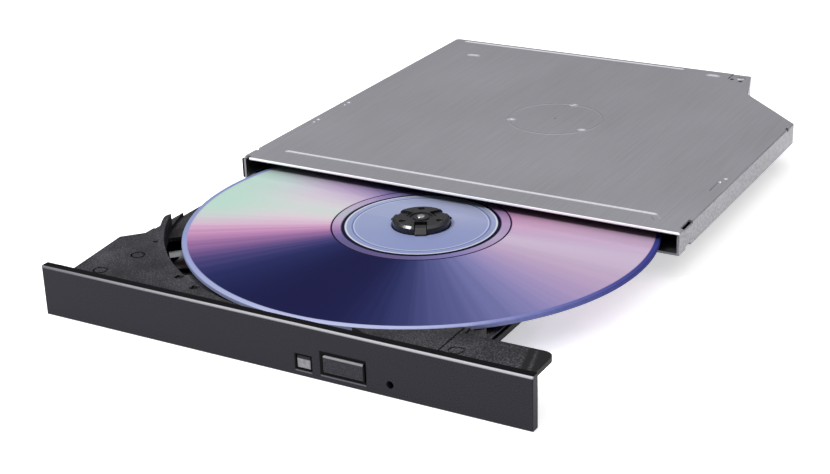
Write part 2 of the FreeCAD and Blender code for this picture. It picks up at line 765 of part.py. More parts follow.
def under_shield():
    """Thin plate screwed under the tray."""
    right = lane_x[0] - 2.0
    outline = [(tray_left_x + 1, 1), (tray_right_x - 1, 1), (tray_right_x - 1, 11.4), (right, 11.4),
               (right, tray_body_length - 1), (tray_left_x + 1, tray_body_length - 1)]
    plate = prism(outline, (shield_z, tray_z))
    holes = [peg(place, shield_screw_head + screw_play, (0, case_height)) for place in shield_screws]
    for place in damper_places:
        holes.append(on_traverse(peg(place, 2.6, (0, case_height))))
    return plate.cut(holes)


def countersunk(place, head_radius, shank_radius, z_head, z_seat, z_tip):
    """Screw driven upwards, with its head from z_head to z_seat."""
    return joined(peg(place, head_radius, (z_head, z_seat)),
                  peg(place, shank_radius, (z_seat, z_tip), shank_sides))


def tray_screws():
    tip = floor_z - 1.4
    screws = [countersunk(place, shield_screw_head, shield_screw_shank, shield_z, tray_z, tip)
              for place in shield_screws]
    screws += [countersunk(place, shield_screw_head, shield_screw_shank, tray_z, tray_board_z, tip)
               for place in tray_board_screws]
    return group(screws)


# Front panel

def front_panel():
    half = half_width + panel_overhang
    panel = block((-half, half), (-panel_thickness, 0), (0, panel_height))
    panel = panel.makeFillet(panel_round, [edge for edge in panel.Edges
                                           if edge.BoundBox.YMax < -panel_thickness + 0.1])
    y = (-panel_thickness - 1, 1)
    panel = panel.cut([
        block((window_x - button_play, window_x + window_width + button_play), y,
              (window_z - button_play, window_z + window_height + button_play)),
        block((button_x, button_x + button_width), y, (button_z, button_z + button_height)),
        rod((pinhole_x, y[0], pinhole_z), (pinhole_x, y[1], pinhole_z), pinhole_radius)])
    clips = []
    for x in clip_x:
        width = (x - clip_half, x + clip_half)
        clips.append(block(width, (-0.4, tray_wall + 0.7), clip_z))
        clips.append(block(width, (tray_wall + 0.1, tray_wall + 0.7), (clip_z[0], clip_z[1] + 0.5)))
    return panel.fuse(clips).removeSplitter()


def led_window():
    """Light pipe that shows through the panel, with a flange behind it."""
    x = (window_x, window_x + window_width)
    z = (window_z, window_z + window_height)
    lip = 0.5
    return joined(block(x, (-panel_thickness + 0.1, tray_wall + 0.4), z),
                  block((x[0] - lip, x[1] + lip), (0, 0.5), (z[0] - lip + 0.2, z[1] + lip)))


def eject_button():
    x = (button_x + button_play, button_x + button_width - button_play)
    z = (button_z + button_play, button_z + button_height - button_play)
    gap = 0.1
    face = block(x, (-panel_thickness - button_proud, gap), z)
    face = face.makeFillet(0.3, [edge for edge in face.Edges
                                 if edge.BoundBox.YMax < -panel_thickness])
    flange = block((x[0] - 0.5, x[1] + 0.5), (gap, gap + 0.6), (z[0] - 0.5, z[1] + 0.5))
    middle = (x[0] + x[1]) / 2
    stem = block((middle - 0.9, middle + 0.9), (gap + 0.5, 2.2), (3.2, 4.7))
    return joined(face, flange, stem)


switch_y = (3.2, 6.4)
switch_z = (tray_board_top, tray_board_top + 2.5)
plunger_z = 3.95
plunger_radius = 0.8


def switch_plunger():
    middle = button_x + button_width / 2
    return stud((middle, 2.2, plunger_z), (middle, switch_y[0] + 0.5, plunger_z), plunger_radius)


def tact_switch():
    middle = button_x + button_width / 2
    body = block((middle - 2.5, middle + 2.5), switch_y, switch_z)
    plunger_end = switch_y[0] + 0.5
    bore = stud((middle, switch_y[0] - 1, plunger_z),
                (middle, plunger_end + button_travel + 0.5, plunger_z), plunger_radius + 0.1)
    return body.cut(bore)


def tray_board():
    board = block(tray_board_x, tray_board_y, (tray_board_z, tray_board_top))
    holes = [peg(place, shield_screw_shank, (0, case_height), shank_sides) for place in tray_board_screws]
    holes.append(block((lane_x[1] - 2.4, lane_x[1]), (8.8, 11), (0, case_height)))
    return board.cut(holes)


def indicator_led():
    middle = window_x + window_width / 2
    package = block((middle - 1.0, middle + 1.0), (2.6, 4.2), (tray_board_top, tray_board_top + 0.7))
    lens = peg((middle, 3.2), 0.55, (tray_board_top + 0.6, tray_board_top + 1.1))
    return joined(package, lens)


# Pickup carrier, drawn along its own axis

opening_u = (14.8, well_radius - 2.0)
opening_half = 12.2
motor_u = (well_radius - 7.2, well_radius - 1.5)
motor_radius = 2.5


def traverse_chassis():
    half = carrier_half_width
    taper_u = chassis_end - 6.2
    outline = [(0, -half), (taper_u, -half), (chassis_end, -11.5), (chassis_end, 11.5),
               (taper_u, half), (0, half)]
    z = (carrier_z, carrier_top)
    plate = prism(outline, z).fuse(peg((0, 0), 14.2, z, large_sides))
    for u, v in damper_places:
        plate = plate.fuse(peg((u, v), 2.6, z))
    plate = plate.common(block((-20, chassis_end), (-half - 0.4, half + 0.4), (0, case_height)))
    holes = [block(opening_u, (-opening_half, opening_half), (0, case_height)),
             block((opening_u[1] - 1, motor_u[1] + 0.3), (-opening_half, screw_offset + 2.7),
                   (0, case_height)),
             peg((0, 0), 2.8, (0, case_height), 16)]
    for angle in (60, 180, 300):
        turn = math.radians(angle)
        holes.append(peg((9.0 * math.cos(turn), 9.0 * math.sin(turn)), 1.6, (0, case_height)))
    for place in damper_places:
        holes.append(peg(place, 1.3, (0, case_height)))
    return on_traverse(plate.cut(holes).removeSplitter())


def damper_grommets():
    grommets = []
    for place in damper_places:
        body = joined(peg(place, 1.25, (carrier_z - 0.3, carrier_top + 0.4)),
                      peg(place, 2.2, (carrier_z - 0.3, carrier_z)),
                      peg(place, 2.2, (carrier_top, carrier_top + 0.4)))
        bore = peg(place, damper_screw_shank, (0, case_height), shank_sides)
        grommets.append(on_traverse(body.cut(bore)))
    return group(grommets)


def damper_screws():
    head = (carrier_z - 0.7, carrier_z - 0.3)
    return group(on_traverse(countersunk(place, 1.5, damper_screw_shank, head[0], head[1], floor_z - 1.2))
                 for place in damper_places)


def motor_base():
    z = (carrier_top, carrier_top + 0.4)
    sleeve = peg((0, 0), 2.6, (carrier_z, rotor_top - 0.8), 16)
    bore = column((0, 0), shaft_radius + shaft_play, (carrier_z + 0.2, case_height))
    return on_traverse(joined(peg((0, 0), 13.0, z, large_sides), sleeve).cut(bore))


def stator():
    """Nine wound poles round the bearing sleeve."""
    poles = 9
    z = (carrier_top + 1.0, rotor_top - 1.6)
    pieces = []
    for index in range(poles):
        arm = block((4.0, 9.8), (-0.6, 0.6), z)
        coil = block((5.0, 8.8), (-1.25, 1.25), (z[0] - 0.3, z[1] + 0.2))
        for piece in (arm, coil):
            pieces.append(piece.rotated(V(0, 0, 0), V(0, 0, 1), 360.0 * index / poles))
    core = peg_ring((0, 0), 4.4, 2.6, z, 16)
    return on_traverse(core.fuse(pieces).removeSplitter())


def motor_rotor():
    cup = peg((0, 0), rotor_radius, (rotor_z, rotor_top), large_sides)
    hollow = peg((0, 0), rotor_radius - 0.7, (rotor_z - 1, rotor_top - 0.6), large_sides)
    bore = column((0, 0), shaft_radius, (0, case_height))
    return on_traverse(cup.cut([hollow, bore]))


def rotor_magnet():
    return on_traverse(peg_ring((0, 0), rotor_radius - 0.7, 10.3, (rotor_z + 0.1, rotor_top - 0.8),
                                large_sides))


def spindle_shaft():
    return on_traverse(column((0, 0), shaft_radius, (carrier_z + 0.25, hub_top + 0.2)))


claw_z = (disc_top + 0.05, disc_top + 1.5)
claw_inner = 4.2


def turntable_hub():
    """Platform under the disc, and the boss that centres and holds it."""
    platform = peg((0, 0), platform_radius, (platform_z, platform_top), large_sides)
    collar = peg((0, 0), 2.6, (rotor_top, platform_z))
    boss = peg((0, 0), hub_radius, (platform_top, hub_top - 0.6), large_sides)
    outlines = [polygon((0, 0), radius, large_sides) for radius in (hub_radius, hub_radius - 0.6)]
    boss = boss.fuse(frustum(outlines[0], hub_top - 0.6, outlines[1], hub_top))
    hub = platform.fuse([collar, boss])
    cuts = [column((0, 0), shaft_radius, (0, case_height)),
            peg_ring((0, 0), 3.0, 2.1, (hub_top - 0.4, case_height), 12)]
    depth = claw_inner - claw_travel - 0.2
    for angle in claw_angles:
        slot = block((depth, hub_radius + 1), (-claw_width / 2 - 0.1, claw_width / 2 + 0.1),
                     (claw_z[0] - 0.1, case_height))
        spot = peg((5.4, 0), 0.9, (hub_top - 0.5, case_height), 8)
        for piece, turn in ((slot, angle), (spot, angle + 60)):
            cuts.append(piece.rotated(V(0, 0, 0), V(0, 0, 1), turn - traverse_angle))
    return on_traverse(hub.cut(cuts).removeSplitter())


def turntable_ring():
    return on_traverse(peg_ring((0, 0), platform_radius - 0.2, 10.5, (platform_top, disc_under),
                                large_sides))


def hub_claw(angle):
    """Hooked jaw that snaps out over the edge of the disc's hole."""
    outer = disc_bore + claw_reach
    half = claw_width / 2
    side = [(claw_inner, claw_z[0]), (outer, claw_z[0]), (outer, claw_z[0] + 0.4),
            (hub_radius - 0.9, claw_z[1]), (claw_inner, claw_z[1])]
    corners = [V(r, -half, z) for r, z in side]
    jaw = Part.Face(Part.makePolygon(corners + corners[:1])).extrude(V(0, claw_width, 0))
    return on_traverse(jaw.rotated(V(0, 0, 0), V(0, 0, 1), angle - traverse_angle))


def disc():
    return ring(spindle, disc_radius, disc_bore, (disc_under, disc_top))


rod_u = (12.0, well_radius + 0.5)
clamp_u = [(rod_u[0] - 1.0, rod_u[0] + 1.5), (rod_u[1] - 1.2, rod_u[1] + 1.0)]


def guide_rods():
    return group(on_traverse(rod((rod_u[0], v, rod_z), (rod_u[1], v, rod_z), rod_radius))
                 for v in (-rod_spread, rod_spread))


def rod_clamps():
    clamps = []
    for v in (-rod_spread, rod_spread):
        bore = stud((rod_u[0], v, rod_z), (rod_u[1], v, rod_z), rod_radius / math.cos(math.pi / 8))
        for u in clamp_u:
            clamp = block(u, (v - 1.9, v + 1.9), (carrier_top, rod_z + 1.4))
            clamps.append(on_traverse(clamp.cut(bore)))
    return group(clamps)


screw_u = (11.6, motor_u[0] - 0.3)


def lead_screw():
    return on_traverse(rod((screw_u[0], screw_offset, rod_z), (screw_u[1], screw_offset, rod_z),
                           screw_radius))


def screw_bearing():
    body = block((screw_u[0] - 0.6, screw_u[0] + 1.4), (screw_offset - 2.0, screw_offset + 2.0),
                 (carrier_top, rod_z + 1.6))
    bore = rod((screw_u[0] - 0.1, screw_offset, rod_z), (screw_u[1], screw_offset, rod_z),
               screw_radius + shaft_play)
    return on_traverse(body.cut(bore))


def sled_motor():
    body = stud((motor_u[0], screw_offset, rod_z), (motor_u[1], screw_offset, rod_z), motor_radius, 16)
    foot = block((motor_u[1] - 1.0, motor_u[1] + 2.0), (screw_offset - 1.8, screw_offset + 1.8),
                 (carrier_top, rod_z))
    return on_traverse(joined(body, foot))


sled_z = (carrier_top + 0.4, floor_top - 0.4)
pocket_floor = rod_z - 0.6
nut_radius = 1.6


def pickup_sled():
    """Carriage of the laser pickup, on two rods and a screw."""
    u = lens_rest
    body = joined(block((u - 12, u + 4), (-6, 12), sled_z),
                  block((u - 8, u + 4), (11, rod_spread + 1.7), sled_z),
                  block((u - 8, u - 3), (-rod_spread - 1.7, -5), sled_z))
    body = body.common(column((-lens_out, 0), well_radius - 0.6, sled_z))
    cuts = [column((lens_in, 0), rotor_radius + 0.6, (0, case_height)),
            block((u - 3.6, u + 3.2), (-5, 5), (pocket_floor, case_height)),
            block((u - 8.5, u - 4.5), (-3, 10), (0, sled_z[0] + 1.4)),
            stud((0, screw_offset, rod_z), (70, screw_offset, rod_z), nut_radius)]
    bore_radius = rod_radius + shaft_play
    cuts.append(rod((0, rod_spread, rod_z), (70, rod_spread, rod_z), bore_radius))
    cuts.append(block((0, 70), (-rod_spread - 4, -rod_spread + bore_radius),
                      (rod_z - bore_radius, rod_z + bore_radius)))
    return on_traverse(body.cut(cuts).removeSplitter())


def sled_nut():
    u = (lens_rest - 8, lens_rest - 3)
    outer = stud((u[0], screw_offset, rod_z), (u[1], screw_offset, rod_z), nut_radius)
    bore = rod((u[0] - 1, screw_offset, rod_z), (u[1] + 1, screw_offset, rod_z),
               screw_radius + shaft_play)
    return on_traverse(outer.cut(bore))


lens_seat = sled_z[1]


def lens_holder():
    bottom = pocket_floor + focus_travel + 0.2
    body = block((lens_rest - 3.0, lens_rest + 2.6), (-4.4, 4.4), (bottom, lens_seat))
    return on_traverse(body.cut(peg((lens_rest, 0), 1.2, (0, case_height), 8)))


def objective_lens():
    """Lens with its domed top drawn as one sloping ring."""
    rim_z = lens_seat + 0.3
    rim = peg((lens_rest, 0), lens_radius, (lens_seat, rim_z), 12)
    outlines = [polygon((lens_rest, 0), lens_radius * share, 12) for share in (1.0, 0.5)]
    return on_traverse(joined(rim, frustum(outlines[0], rim_z, outlines[1], rim_z + 0.6)))


def well_cover():
    """Metal dust plate on the well's floor, slotted for the lens."""
    z = (floor_top, floor_top + 0.3)
    corner_u = well_radius - 7.0
    outline = [(-19, -19), (corner_u, -19), (corner_u, -7), (window_u[1], -7), (window_u[1], 20),
               (-19, 20)]
    plate = prism(outline, z).common(column((0, 0), well_radius - 0.3, z))
    slot = block((12, 70), (-7, 7), (0, case_height))
    hole = peg((0, 0), platform_radius + 0.6, (0, case_height), large_sides)
    return on_traverse(plate.cut([slot, hole]))


def pickup_flex():
    """Ribbon from the sled, folded under itself on the shield."""
    thickness = 0.15
    low = tray_z + thickness / 2
    high = sled_z[0] - 0.1 - thickness / 2
    radius = (high - low) / 2
    turn_u = 20.6
    path = [(well_radius - 3.0, low)]
    path += half_turn((turn_u, low + radius), radius, -90, -270, 6)
    path.append((lens_rest + 3, high))
    return on_traverse(ribbon(path, thickness, 0, -4.0, 4.0))


# Latch of the tray

latch_post_x = pivot[0] - 7.0
latch_post_y = pivot[1] - 13.7
tooth_radii = (11.0, 14.2)
tooth_angles = (-128.0, -110.0)
lever_z = (rail_z - 1.2, rail_z)


def latch_post():
    place = (latch_post_x, latch_post_y - closed_gap)
    return peg(place, 1.0, (sheet, lever_z[0] - 0.3))


def latch_lever():
    """Lever that hooks the post on the chassis while the tray is in."""
    hub = peg(pivot, 2.2, lever_z, 16)
    pieces = []
    sector = [(0, 0)]
    for angle in tooth_angles:
        turn = math.radians(angle)
        sector.append((20 * math.cos(turn), 20 * math.sin(turn)))
    tooth_z = (tray_z + 0.1, lever_z[1])
    tooth = ring((0, 0), tooth_radii[1], tooth_radii[0], tooth_z).common(prism(sector, tooth_z))
    pieces.append(tooth.translated(V(pivot[0], pivot[1], 0)))
    for angle, length, half in ((-119.0, 12.0, 1.2), (170.0, 12.5, 1.1)):
        arm = block((0, length), (-half, half), lever_z).rotated(V(0, 0, 0), V(0, 0, 1), angle)
        pieces.append(arm.translated(V(pivot[0], pivot[1], 0)))
    return hub.fuse(pieces).cut(column(pivot, pivot_radius + shaft_play, (0, case_height))).removeSplitter()


def latch_magnet():
    return block((pivot[0] - 13.0, pivot[0] - 8.6), (pivot[1] - 8.0, pivot[1] - 2.8),
                 (lever_z[0] + 0.1, floor_z))


def latch_spring():
    return peg_ring(pivot, pivot_radius + 0.75, pivot_radius / math.cos(math.pi / small_sides),
                    (lever_z[1] + 0.05, rail_z + 0.4))


def latch_clip():
    return peg_ring(pivot, 1.9, pivot_radius / math.cos(math.pi / small_sides),
                    (lever_z[0] - 0.35, lever_z[0] - 0.05))


# Spring that starts the tray moving

ejector_pin_y = (board_front_y - 13.5, board_front_y - 1.7)
ejector_spring_y = (board_front_y - 23.5, ejector_pin_y[1])


def ejector_pin():
    bracket_x = (ejector_x - 3, ejector_x + 3)
    back = ejector_pin_y[1]
    return joined(block(bracket_x, (back, back + 0.8), (sheet, ejector_z + 2.0)),
                  block(bracket_x, (back - 1.8, back + 0.8), (sheet, sheet + 0.4)),
                  stud((ejector_x, ejector_pin_y[0], ejector_z), (ejector_x, back, ejector_z), 1.0))


def ejector_spring():
    ends = [(ejector_x, y, ejector_z) for y in ejector_spring_y]
    return stud(ends[0], ends[1], 1.8).cut(stud(ends[0], ends[1], 1.2))


# Electronics in the case

socket_x = (lane_x[1] - 14.5, lane_x[1] - 0.5)
socket_y = (board_front_y + 0.5, board_front_y + 3.5)


def main_board():
    slant_x = slant_rear_x - 2.2
    outline = [(board_x[0], board_front_y), (board_x[1], board_front_y), (board_x[1], board_front_y + 10.5),
               (slant_x, board_rear_y - 6.0), (slant_x, board_rear_y), (board_x[0], board_rear_y)]
    return prism(outline, (board_z, board_top)).cut(
        [peg(place, board_screw_shank, (0, case_height)) for place in standoffs])


def board_screws():
    return group(joined(peg(place, 1.3, (board_top, board_top + 0.6)),
                        peg(place, board_screw_shank, (sheet / 2, board_top)))
                 for place in standoffs)


# Chips: place from the board's front left corner, then width, depth and height
chip_sizes = [(32.0, 4.5, 14.0, 14.0, 1.4), (12.0, 6.5, 9.0, 9.0, 1.2), (54.0, 9.5, 8.0, 10.0, 1.1),
              (70.0, 10.5, 6.0, 6.0, 1.0), (10.0, 19.5, 6.0, 4.0, 1.4)]


def board_chips():
    chips = []
    for from_left, from_front, width, depth, height in chip_sizes:
        x = board_x[0] + from_left
        y = board_front_y + from_front
        chips.append(block((x, x + width), (y, y + depth), (board_top, board_top + height)))
    return group(chips)


def board_capacitors():
    places = [(board_x[0] + 20.0, board_rear_y - 4.5), (board_x[0] + 26.0, board_rear_y - 4.5),
              (connector_x[0] - 8.0, board_rear_y - 3.5), (board_x[0] + 80.0, board_front_y + 8.5)]
    return group(peg(place, 1.6, (board_top, board_top + 2.4)) for place in places)


def sata_connector():
    """Combined data and power socket with its two keyed tongues."""
    body = block(connector_x, connector_y, connector_z)
    mouth = block((connector_x[0] + 1, connector_x[1] - 1), (connector_y[0] + 2, connector_y[1] + 1),
                  (connector_z[0] + 0.7, connector_z[1] - 0.6))
    level = connector_z[0] + 1.9
    tongues = []
    for low, high in ((connector_x[0] + 2.2, connector_x[0] + 11.0),
                      (connector_x[0] + 13.4, connector_x[1] - 2.2)):
        y = (connector_y[0] + 1.5, connector_y[1] - 0.6)
        tongues.append(block((low, high), y, (level, level + 0.8)))
        tongues.append(block((low, low + 0.8), y, (level - 0.7, level + 0.8)))
    return body.cut(mouth).fuse(tongues).removeSplitter()


def flex_socket():
    body = block(socket_x, socket_y, (board_top, board_top + 1.4))
    slot = block((socket_x[0] + 0.9, socket_x[1] - 0.9), (socket_y[0] - 1, socket_y[0] + 1.6),
                 (board_top + 0.45, board_top + 0.75))
    return body.cut(slot)


def flat_flex_cable():
    """Ribbon from the main board to the tray, folded so that it can pay out."""
    thickness = 0.2
    floor = sheet + thickness / 2
    entry = board_top + 0.6
    middle = sheet + 0.65
    top = flex_clamp_z - 0.15 - thickness / 2
    fold_radius = (middle - floor) / 2
    loop_radius = (top - middle) / 2
    path = [(socket_y[0] + 1.2, entry), (socket_y[0] - 1.6, entry), (socket_y[0] - 6.0, floor)]
    path += half_turn((14.0, floor + fold_radius), fold_radius, -90, -270, 4)
    path += half_turn((50.0, middle + loop_radius), loop_radius, -90, 90, 6)
    path.append((flex_clamp_y[1] + tray_shift - 3.2, top))
    return ribbon(path, thickness, 1, socket_x[0] + 1, socket_x[1] - 1)


pieces = {
    "top_cover": top_cover(),
    "bottom_chassis": bottom_chassis(),
    "cover_screws": cover_screws(),
    "left_guide": case_guide(-1),
    "right_guide": case_guide(1),
    "main_board": main_board(),
    "board_screws": board_screws(),
    "board_chips": board_chips(),
    "board_capacitors": board_capacitors(),
    "sata_connector": sata_connector(),
    "flex_socket": flex_socket(),
    "flat_flex_cable": flat_flex_cable(),
    "latch_post": latch_post(),
    "ejector_pin": ejector_pin(),
    "ejector_spring": ejector_spring(),
    "left_slide_rail": slide_rail(-1),
    "right_slide_rail": slide_rail(1),
}

tray_pieces = {
    "tray_frame": tray_frame(),
    "front_panel": front_panel(),
    "led_window": led_window(),
    "under_shield": under_shield(),
    "tray_screws": tray_screws(),
    "tray_board": tray_board(),
    "tact_switch": tact_switch(),
    "indicator_led": indicator_led(),
    "eject_button": eject_button(),
    "switch_plunger": switch_plunger(),
    "well_cover": well_cover(),
    "traverse_chassis": traverse_chassis(),
    "damper_grommets": damper_grommets(),
    "damper_screws": damper_screws(),
    "motor_base": motor_base(),
    "stator": stator(),
    "motor_rotor": motor_rotor(),
    "rotor_magnet": rotor_magnet(),
    "spindle_shaft": spindle_shaft(),
    "turntable_hub": turntable_hub(),
    "turntable_ring": turntable_ring(),
    "disc": disc(),
    "guide_rods": guide_rods(),
    "rod_clamps": rod_clamps(),
    "lead_screw": lead_screw(),
    "screw_bearing": screw_bearing(),
    "sled_motor": sled_motor(),
    "pickup_sled": pickup_sled(),
    "sled_nut": sled_nut(),
    "lens_holder": lens_holder(),
    "objective_lens": objective_lens(),
    "pickup_flex": pickup_flex(),
    "latch_lever": latch_lever(),
    "latch_magnet": latch_magnet(),
    "latch_spring": latch_spring(),
    "latch_clip": latch_clip(),
}

for number, angle in enumerate(claw_angles, 1):
    tray_pieces["hub_claw_%d" % number] = hub_claw(angle)

for name, shape in tray_pieces.items():
    pieces[name] = on_tray(shape)

os.makedirs("parts", exist_ok=True)
for name, shape in pieces.items():
    save(name, shape)
print(len(pieces), "pieces written")
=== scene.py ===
import bpy
import bmesh
import math
from mathutils import Matrix, Vector


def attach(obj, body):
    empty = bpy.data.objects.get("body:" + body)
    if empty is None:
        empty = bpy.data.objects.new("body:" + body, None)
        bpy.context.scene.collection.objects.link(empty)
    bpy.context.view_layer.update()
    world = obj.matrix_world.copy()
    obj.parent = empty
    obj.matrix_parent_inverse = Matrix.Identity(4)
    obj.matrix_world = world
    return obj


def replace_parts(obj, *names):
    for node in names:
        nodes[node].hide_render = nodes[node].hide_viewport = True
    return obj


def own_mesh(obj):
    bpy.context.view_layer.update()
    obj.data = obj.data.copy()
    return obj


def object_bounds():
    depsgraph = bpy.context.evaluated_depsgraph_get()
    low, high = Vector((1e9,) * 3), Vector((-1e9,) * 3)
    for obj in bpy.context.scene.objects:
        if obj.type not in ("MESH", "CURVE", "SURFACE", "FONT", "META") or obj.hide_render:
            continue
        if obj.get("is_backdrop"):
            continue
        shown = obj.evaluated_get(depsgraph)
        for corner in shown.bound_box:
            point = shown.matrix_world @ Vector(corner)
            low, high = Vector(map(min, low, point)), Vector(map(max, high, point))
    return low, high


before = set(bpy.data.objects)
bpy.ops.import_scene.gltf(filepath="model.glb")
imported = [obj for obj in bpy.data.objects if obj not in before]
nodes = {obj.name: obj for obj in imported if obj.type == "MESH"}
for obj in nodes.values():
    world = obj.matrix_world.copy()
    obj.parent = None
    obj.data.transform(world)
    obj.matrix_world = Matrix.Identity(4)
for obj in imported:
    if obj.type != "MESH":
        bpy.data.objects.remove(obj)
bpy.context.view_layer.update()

# Bottom chassis: a pan of galvanised sheet steel, folded up at the sides and the rear,
# with a raised wing under the right-hand part of the disc. Stamped, so its edges are
# slightly rolled over.


def paint(red, green, blue):
    """A colour as it looks on a screen, from 0 to 255, turned into light."""
    light = [(value / 255 / 12.92 if value <= 10 else ((value / 255 + 0.055) / 1.055) ** 2.4)
             for value in (red, green, blue)]
    return (*light, 1.0)


def new_finish(name, metal, rough, more=None):
    """A material whose shader has the settings that are the same all over the piece."""
    material = bpy.data.materials.new(name)
    material.use_nodes = True
    shader = material.node_tree.nodes["Principled BSDF"]
    shader.inputs["Metallic"].default_value = metal
    shader.inputs["Roughness"].default_value = rough
    for socket, value in (more or {}).items():
        shader.inputs[socket].default_value = value
    return material, material.node_tree, shader


def fill(tree, socket, value):
    """Gives a socket a fixed value, or the result of another node."""
    if hasattr(value, "is_linked"):
        tree.links.new(value, socket)
    else:
        socket.default_value = value


def add(tree, kind, *inputs, **values):
    """A new shader node: its inputs filled in their order, its settings and inputs by name."""
    node = tree.nodes.new(kind)
    for key, value in values.items():
        if hasattr(node, key):
            setattr(node, key, value)
        else:
            fill(tree, node.inputs[key], value)
    for socket, value in zip(node.inputs, inputs):
        fill(tree, socket, value)
    return node


def place_on(tree):
    """Where a point lies in the frame of its piece."""
    return add(tree, "ShaderNodeTexCoord").outputs["Object"]


def grain(tree, size, run=1.0, turn=0.0, detail=3.0):
    """Noise with grains of a size in metres, drawn out to a run along one heading."""
    mapping = add(tree, "ShaderNodeMapping", vector_type="TEXTURE", Vector=place_on(tree),
                  Scale=(run, 1, 1), Rotation=(0, 0, math.radians(turn)))
    noise = add(tree, "ShaderNodeTexNoise", Vector=mapping.outputs["Vector"], Scale=1 / size, Detail=detail)
    return noise.outputs[0]


def ramp(tree, factor, stops, smooth="LINEAR"):
    """Colours set along a factor; each stop is a place from 0 to 1 and a colour."""
    node = tree.nodes.new("ShaderNodeValToRGB")
    node.color_ramp.interpolation = smooth
    elements = node.color_ramp.elements
    while len(elements) > 1:
        elements.remove(elements[0])
    elements[0].position = stops[0][0]
    elements[0].color = stops[0][1]
    for place, colour in stops[1:]:
        elements.new(place).color = colour
    tree.links.new(factor, node.inputs["Fac"])
    return node.outputs["Color"]


def shift(colour, share):
    """The same colour, lighter or darker by a share."""
    return (*[min(1.0, value * (1 + share)) for value in colour[:3]], 1.0)


def rising(tree, value, low, high, start=0.0, end=1.0):
    """Goes from a start to an end while a value goes from low to high."""
    limits = {"From Min": low, "From Max": high, "To Min": start, "To Max": end}
    return add(tree, "ShaderNodeMapRange", value, **limits).outputs["Result"]


def product(tree, first, second):
    """Two values multiplied."""
    return add(tree, "ShaderNodeMath", first, second, operation="MULTIPLY").outputs[0]


def added_share(tree, first, share, second):
    """A share of one value, added to another."""
    return add(tree, "ShaderNodeMath", first, share, second, operation="MULTIPLY_ADD").outputs[0]


def relief(tree, shader, height, depth, strength=1.0, under=None):
    """Fine surface relief of a depth in metres, on top of another relief if there is one."""
    bump = add(tree, "ShaderNodeBump", Strength=strength, Distance=depth, Height=height)
    if under is not None:
        tree.links.new(under, bump.inputs["Normal"])
    tree.links.new(bump.outputs["Normal"], shader.inputs["Normal"])
    return bump.outputs["Normal"]


def sheet_steel(name, colour, rough, turn, line=0.00018, run=60.0, contrast=0.10):
    """Rolled or brushed sheet: fine lines along one heading and faint clouds."""
    material, tree, shader = new_finish(name, 0.92, rough)
    lines = grain(tree, line, run, turn, 2.0)
    cloud_size = 0.022
    both = added_share(tree, grain(tree, cloud_size), 0.45, product(tree, lines, 0.55))
    tone = ramp(tree, both, [(0.3, shift(colour, -contrast)), (0.7, shift(colour, contrast))])
    tree.links.new(tone, shader.inputs["Base Color"])
    tree.links.new(rising(tree, lines, 0.3, 0.7, rough - 0.06, rough + 0.08), shader.inputs["Roughness"])
    relief(tree, shader, lines, depth=0.000012, strength=0.5)
    return material


def dress(node, material, width, segments=2, angle=28):
    """Gives a solid of the frame its finish and rounds its edges by a width in metres."""
    piece = nodes[node]
    piece.data.materials.clear()
    piece.data.materials.append(material)
    for polygon in piece.data.polygons:
        polygon.use_smooth = True
    weld = piece.modifiers.new("one_skin", "WELD")
    weld.merge_threshold = 0.000002
    flat = piece.modifiers.new("flat_faces", "DECIMATE")
    flat.decimate_type = "DISSOLVE"
    flat.angle_limit = math.radians(0.5)
    bevel = piece.modifiers.new("edges", "BEVEL")
    bevel.width = width
    bevel.segments = segments
    bevel.limit_method = "ANGLE"
    bevel.angle_limit = math.radians(angle)
    bevel.miter_outer = "MITER_ARC"
    shading = piece.modifiers.new("flat_shading", "WEIGHTED_NORMAL")
    shading.weight = 100


chassis_steel = sheet_steel("galvanised_chassis_steel", paint(118, 119, 123), rough=0.36, turn=0.0,
                            contrast=0.2)
dress("bottom_chassis", chassis_steel, width=0.00006)

# Top cover: satin sheet steel, finely brushed from front to rear, with dents pressed
# where it clears the spindle and a bead that stiffens its front edge. A faint scribed
# arc runs round the spindle. Its underside and the left end of its front fold are
# painted dark as shade, and a highlight is painted along its upper front edge.


def facing_on(tree):
    """Which way a point of the surface faces in the frame of its piece."""
    return add(tree, "ShaderNodeTexCoord").outputs["Normal"]


def split(tree, vector):
    """The three parts of a vector."""
    return add(tree, "ShaderNodeSeparateXYZ", vector).outputs


def blended(tree, share, first, second):
    """Mixes two colours by a share."""
    mix = add(tree, "ShaderNodeMix", data_type="RGBA")
    for index, value in ((0, share), (6, first), (7, second)):
        fill(tree, mix.inputs[index], value)
    return mix.outputs[2]


cover_grey = paint(178, 178, 184)
painted_cover_shade = paint(20, 20, 22)
painted_edge_highlight = paint(248, 248, 250)
spangle_dark = paint(116, 116, 120)
spangle_light = paint(146, 146, 151)
brush_line = 0.00022
brush_run = 90.0
spangle_size = 0.0007
front_fold_y = 0.0004
left_fold_x = -0.0628
upper_edge_z = 0.0122
scribed_centre = (0.001, 0.0648, 0.0127)
scribed_inner = 0.0131
scribed_outer = 0.0139
scribed_slope = 0.0003
cover_steel, tree, shader = new_finish("brushed_cover_steel", metal=0.85, rough=0.38)
place = split(tree, place_on(tree))
faces = split(tree, facing_on(tree))
lines = grain(tree, brush_line, brush_run, 90.0, 2.0)
tone = ramp(tree, lines,
            [(0.25, shift(cover_grey, -0.10)), (0.5, cover_grey), (0.75, shift(cover_grey, 0.10))])
spangle = ramp(tree, grain(tree, spangle_size), [(0.34, spangle_dark), (0.66, spangle_light)])
tone = blended(tree, rising(tree, faces["Z"], 0.6, 0.3), tone, spangle)
# The underside is painted dark as shade.
tone = blended(tree, rising(tree, faces["Z"], -0.3, -0.5), tone, painted_cover_shade)
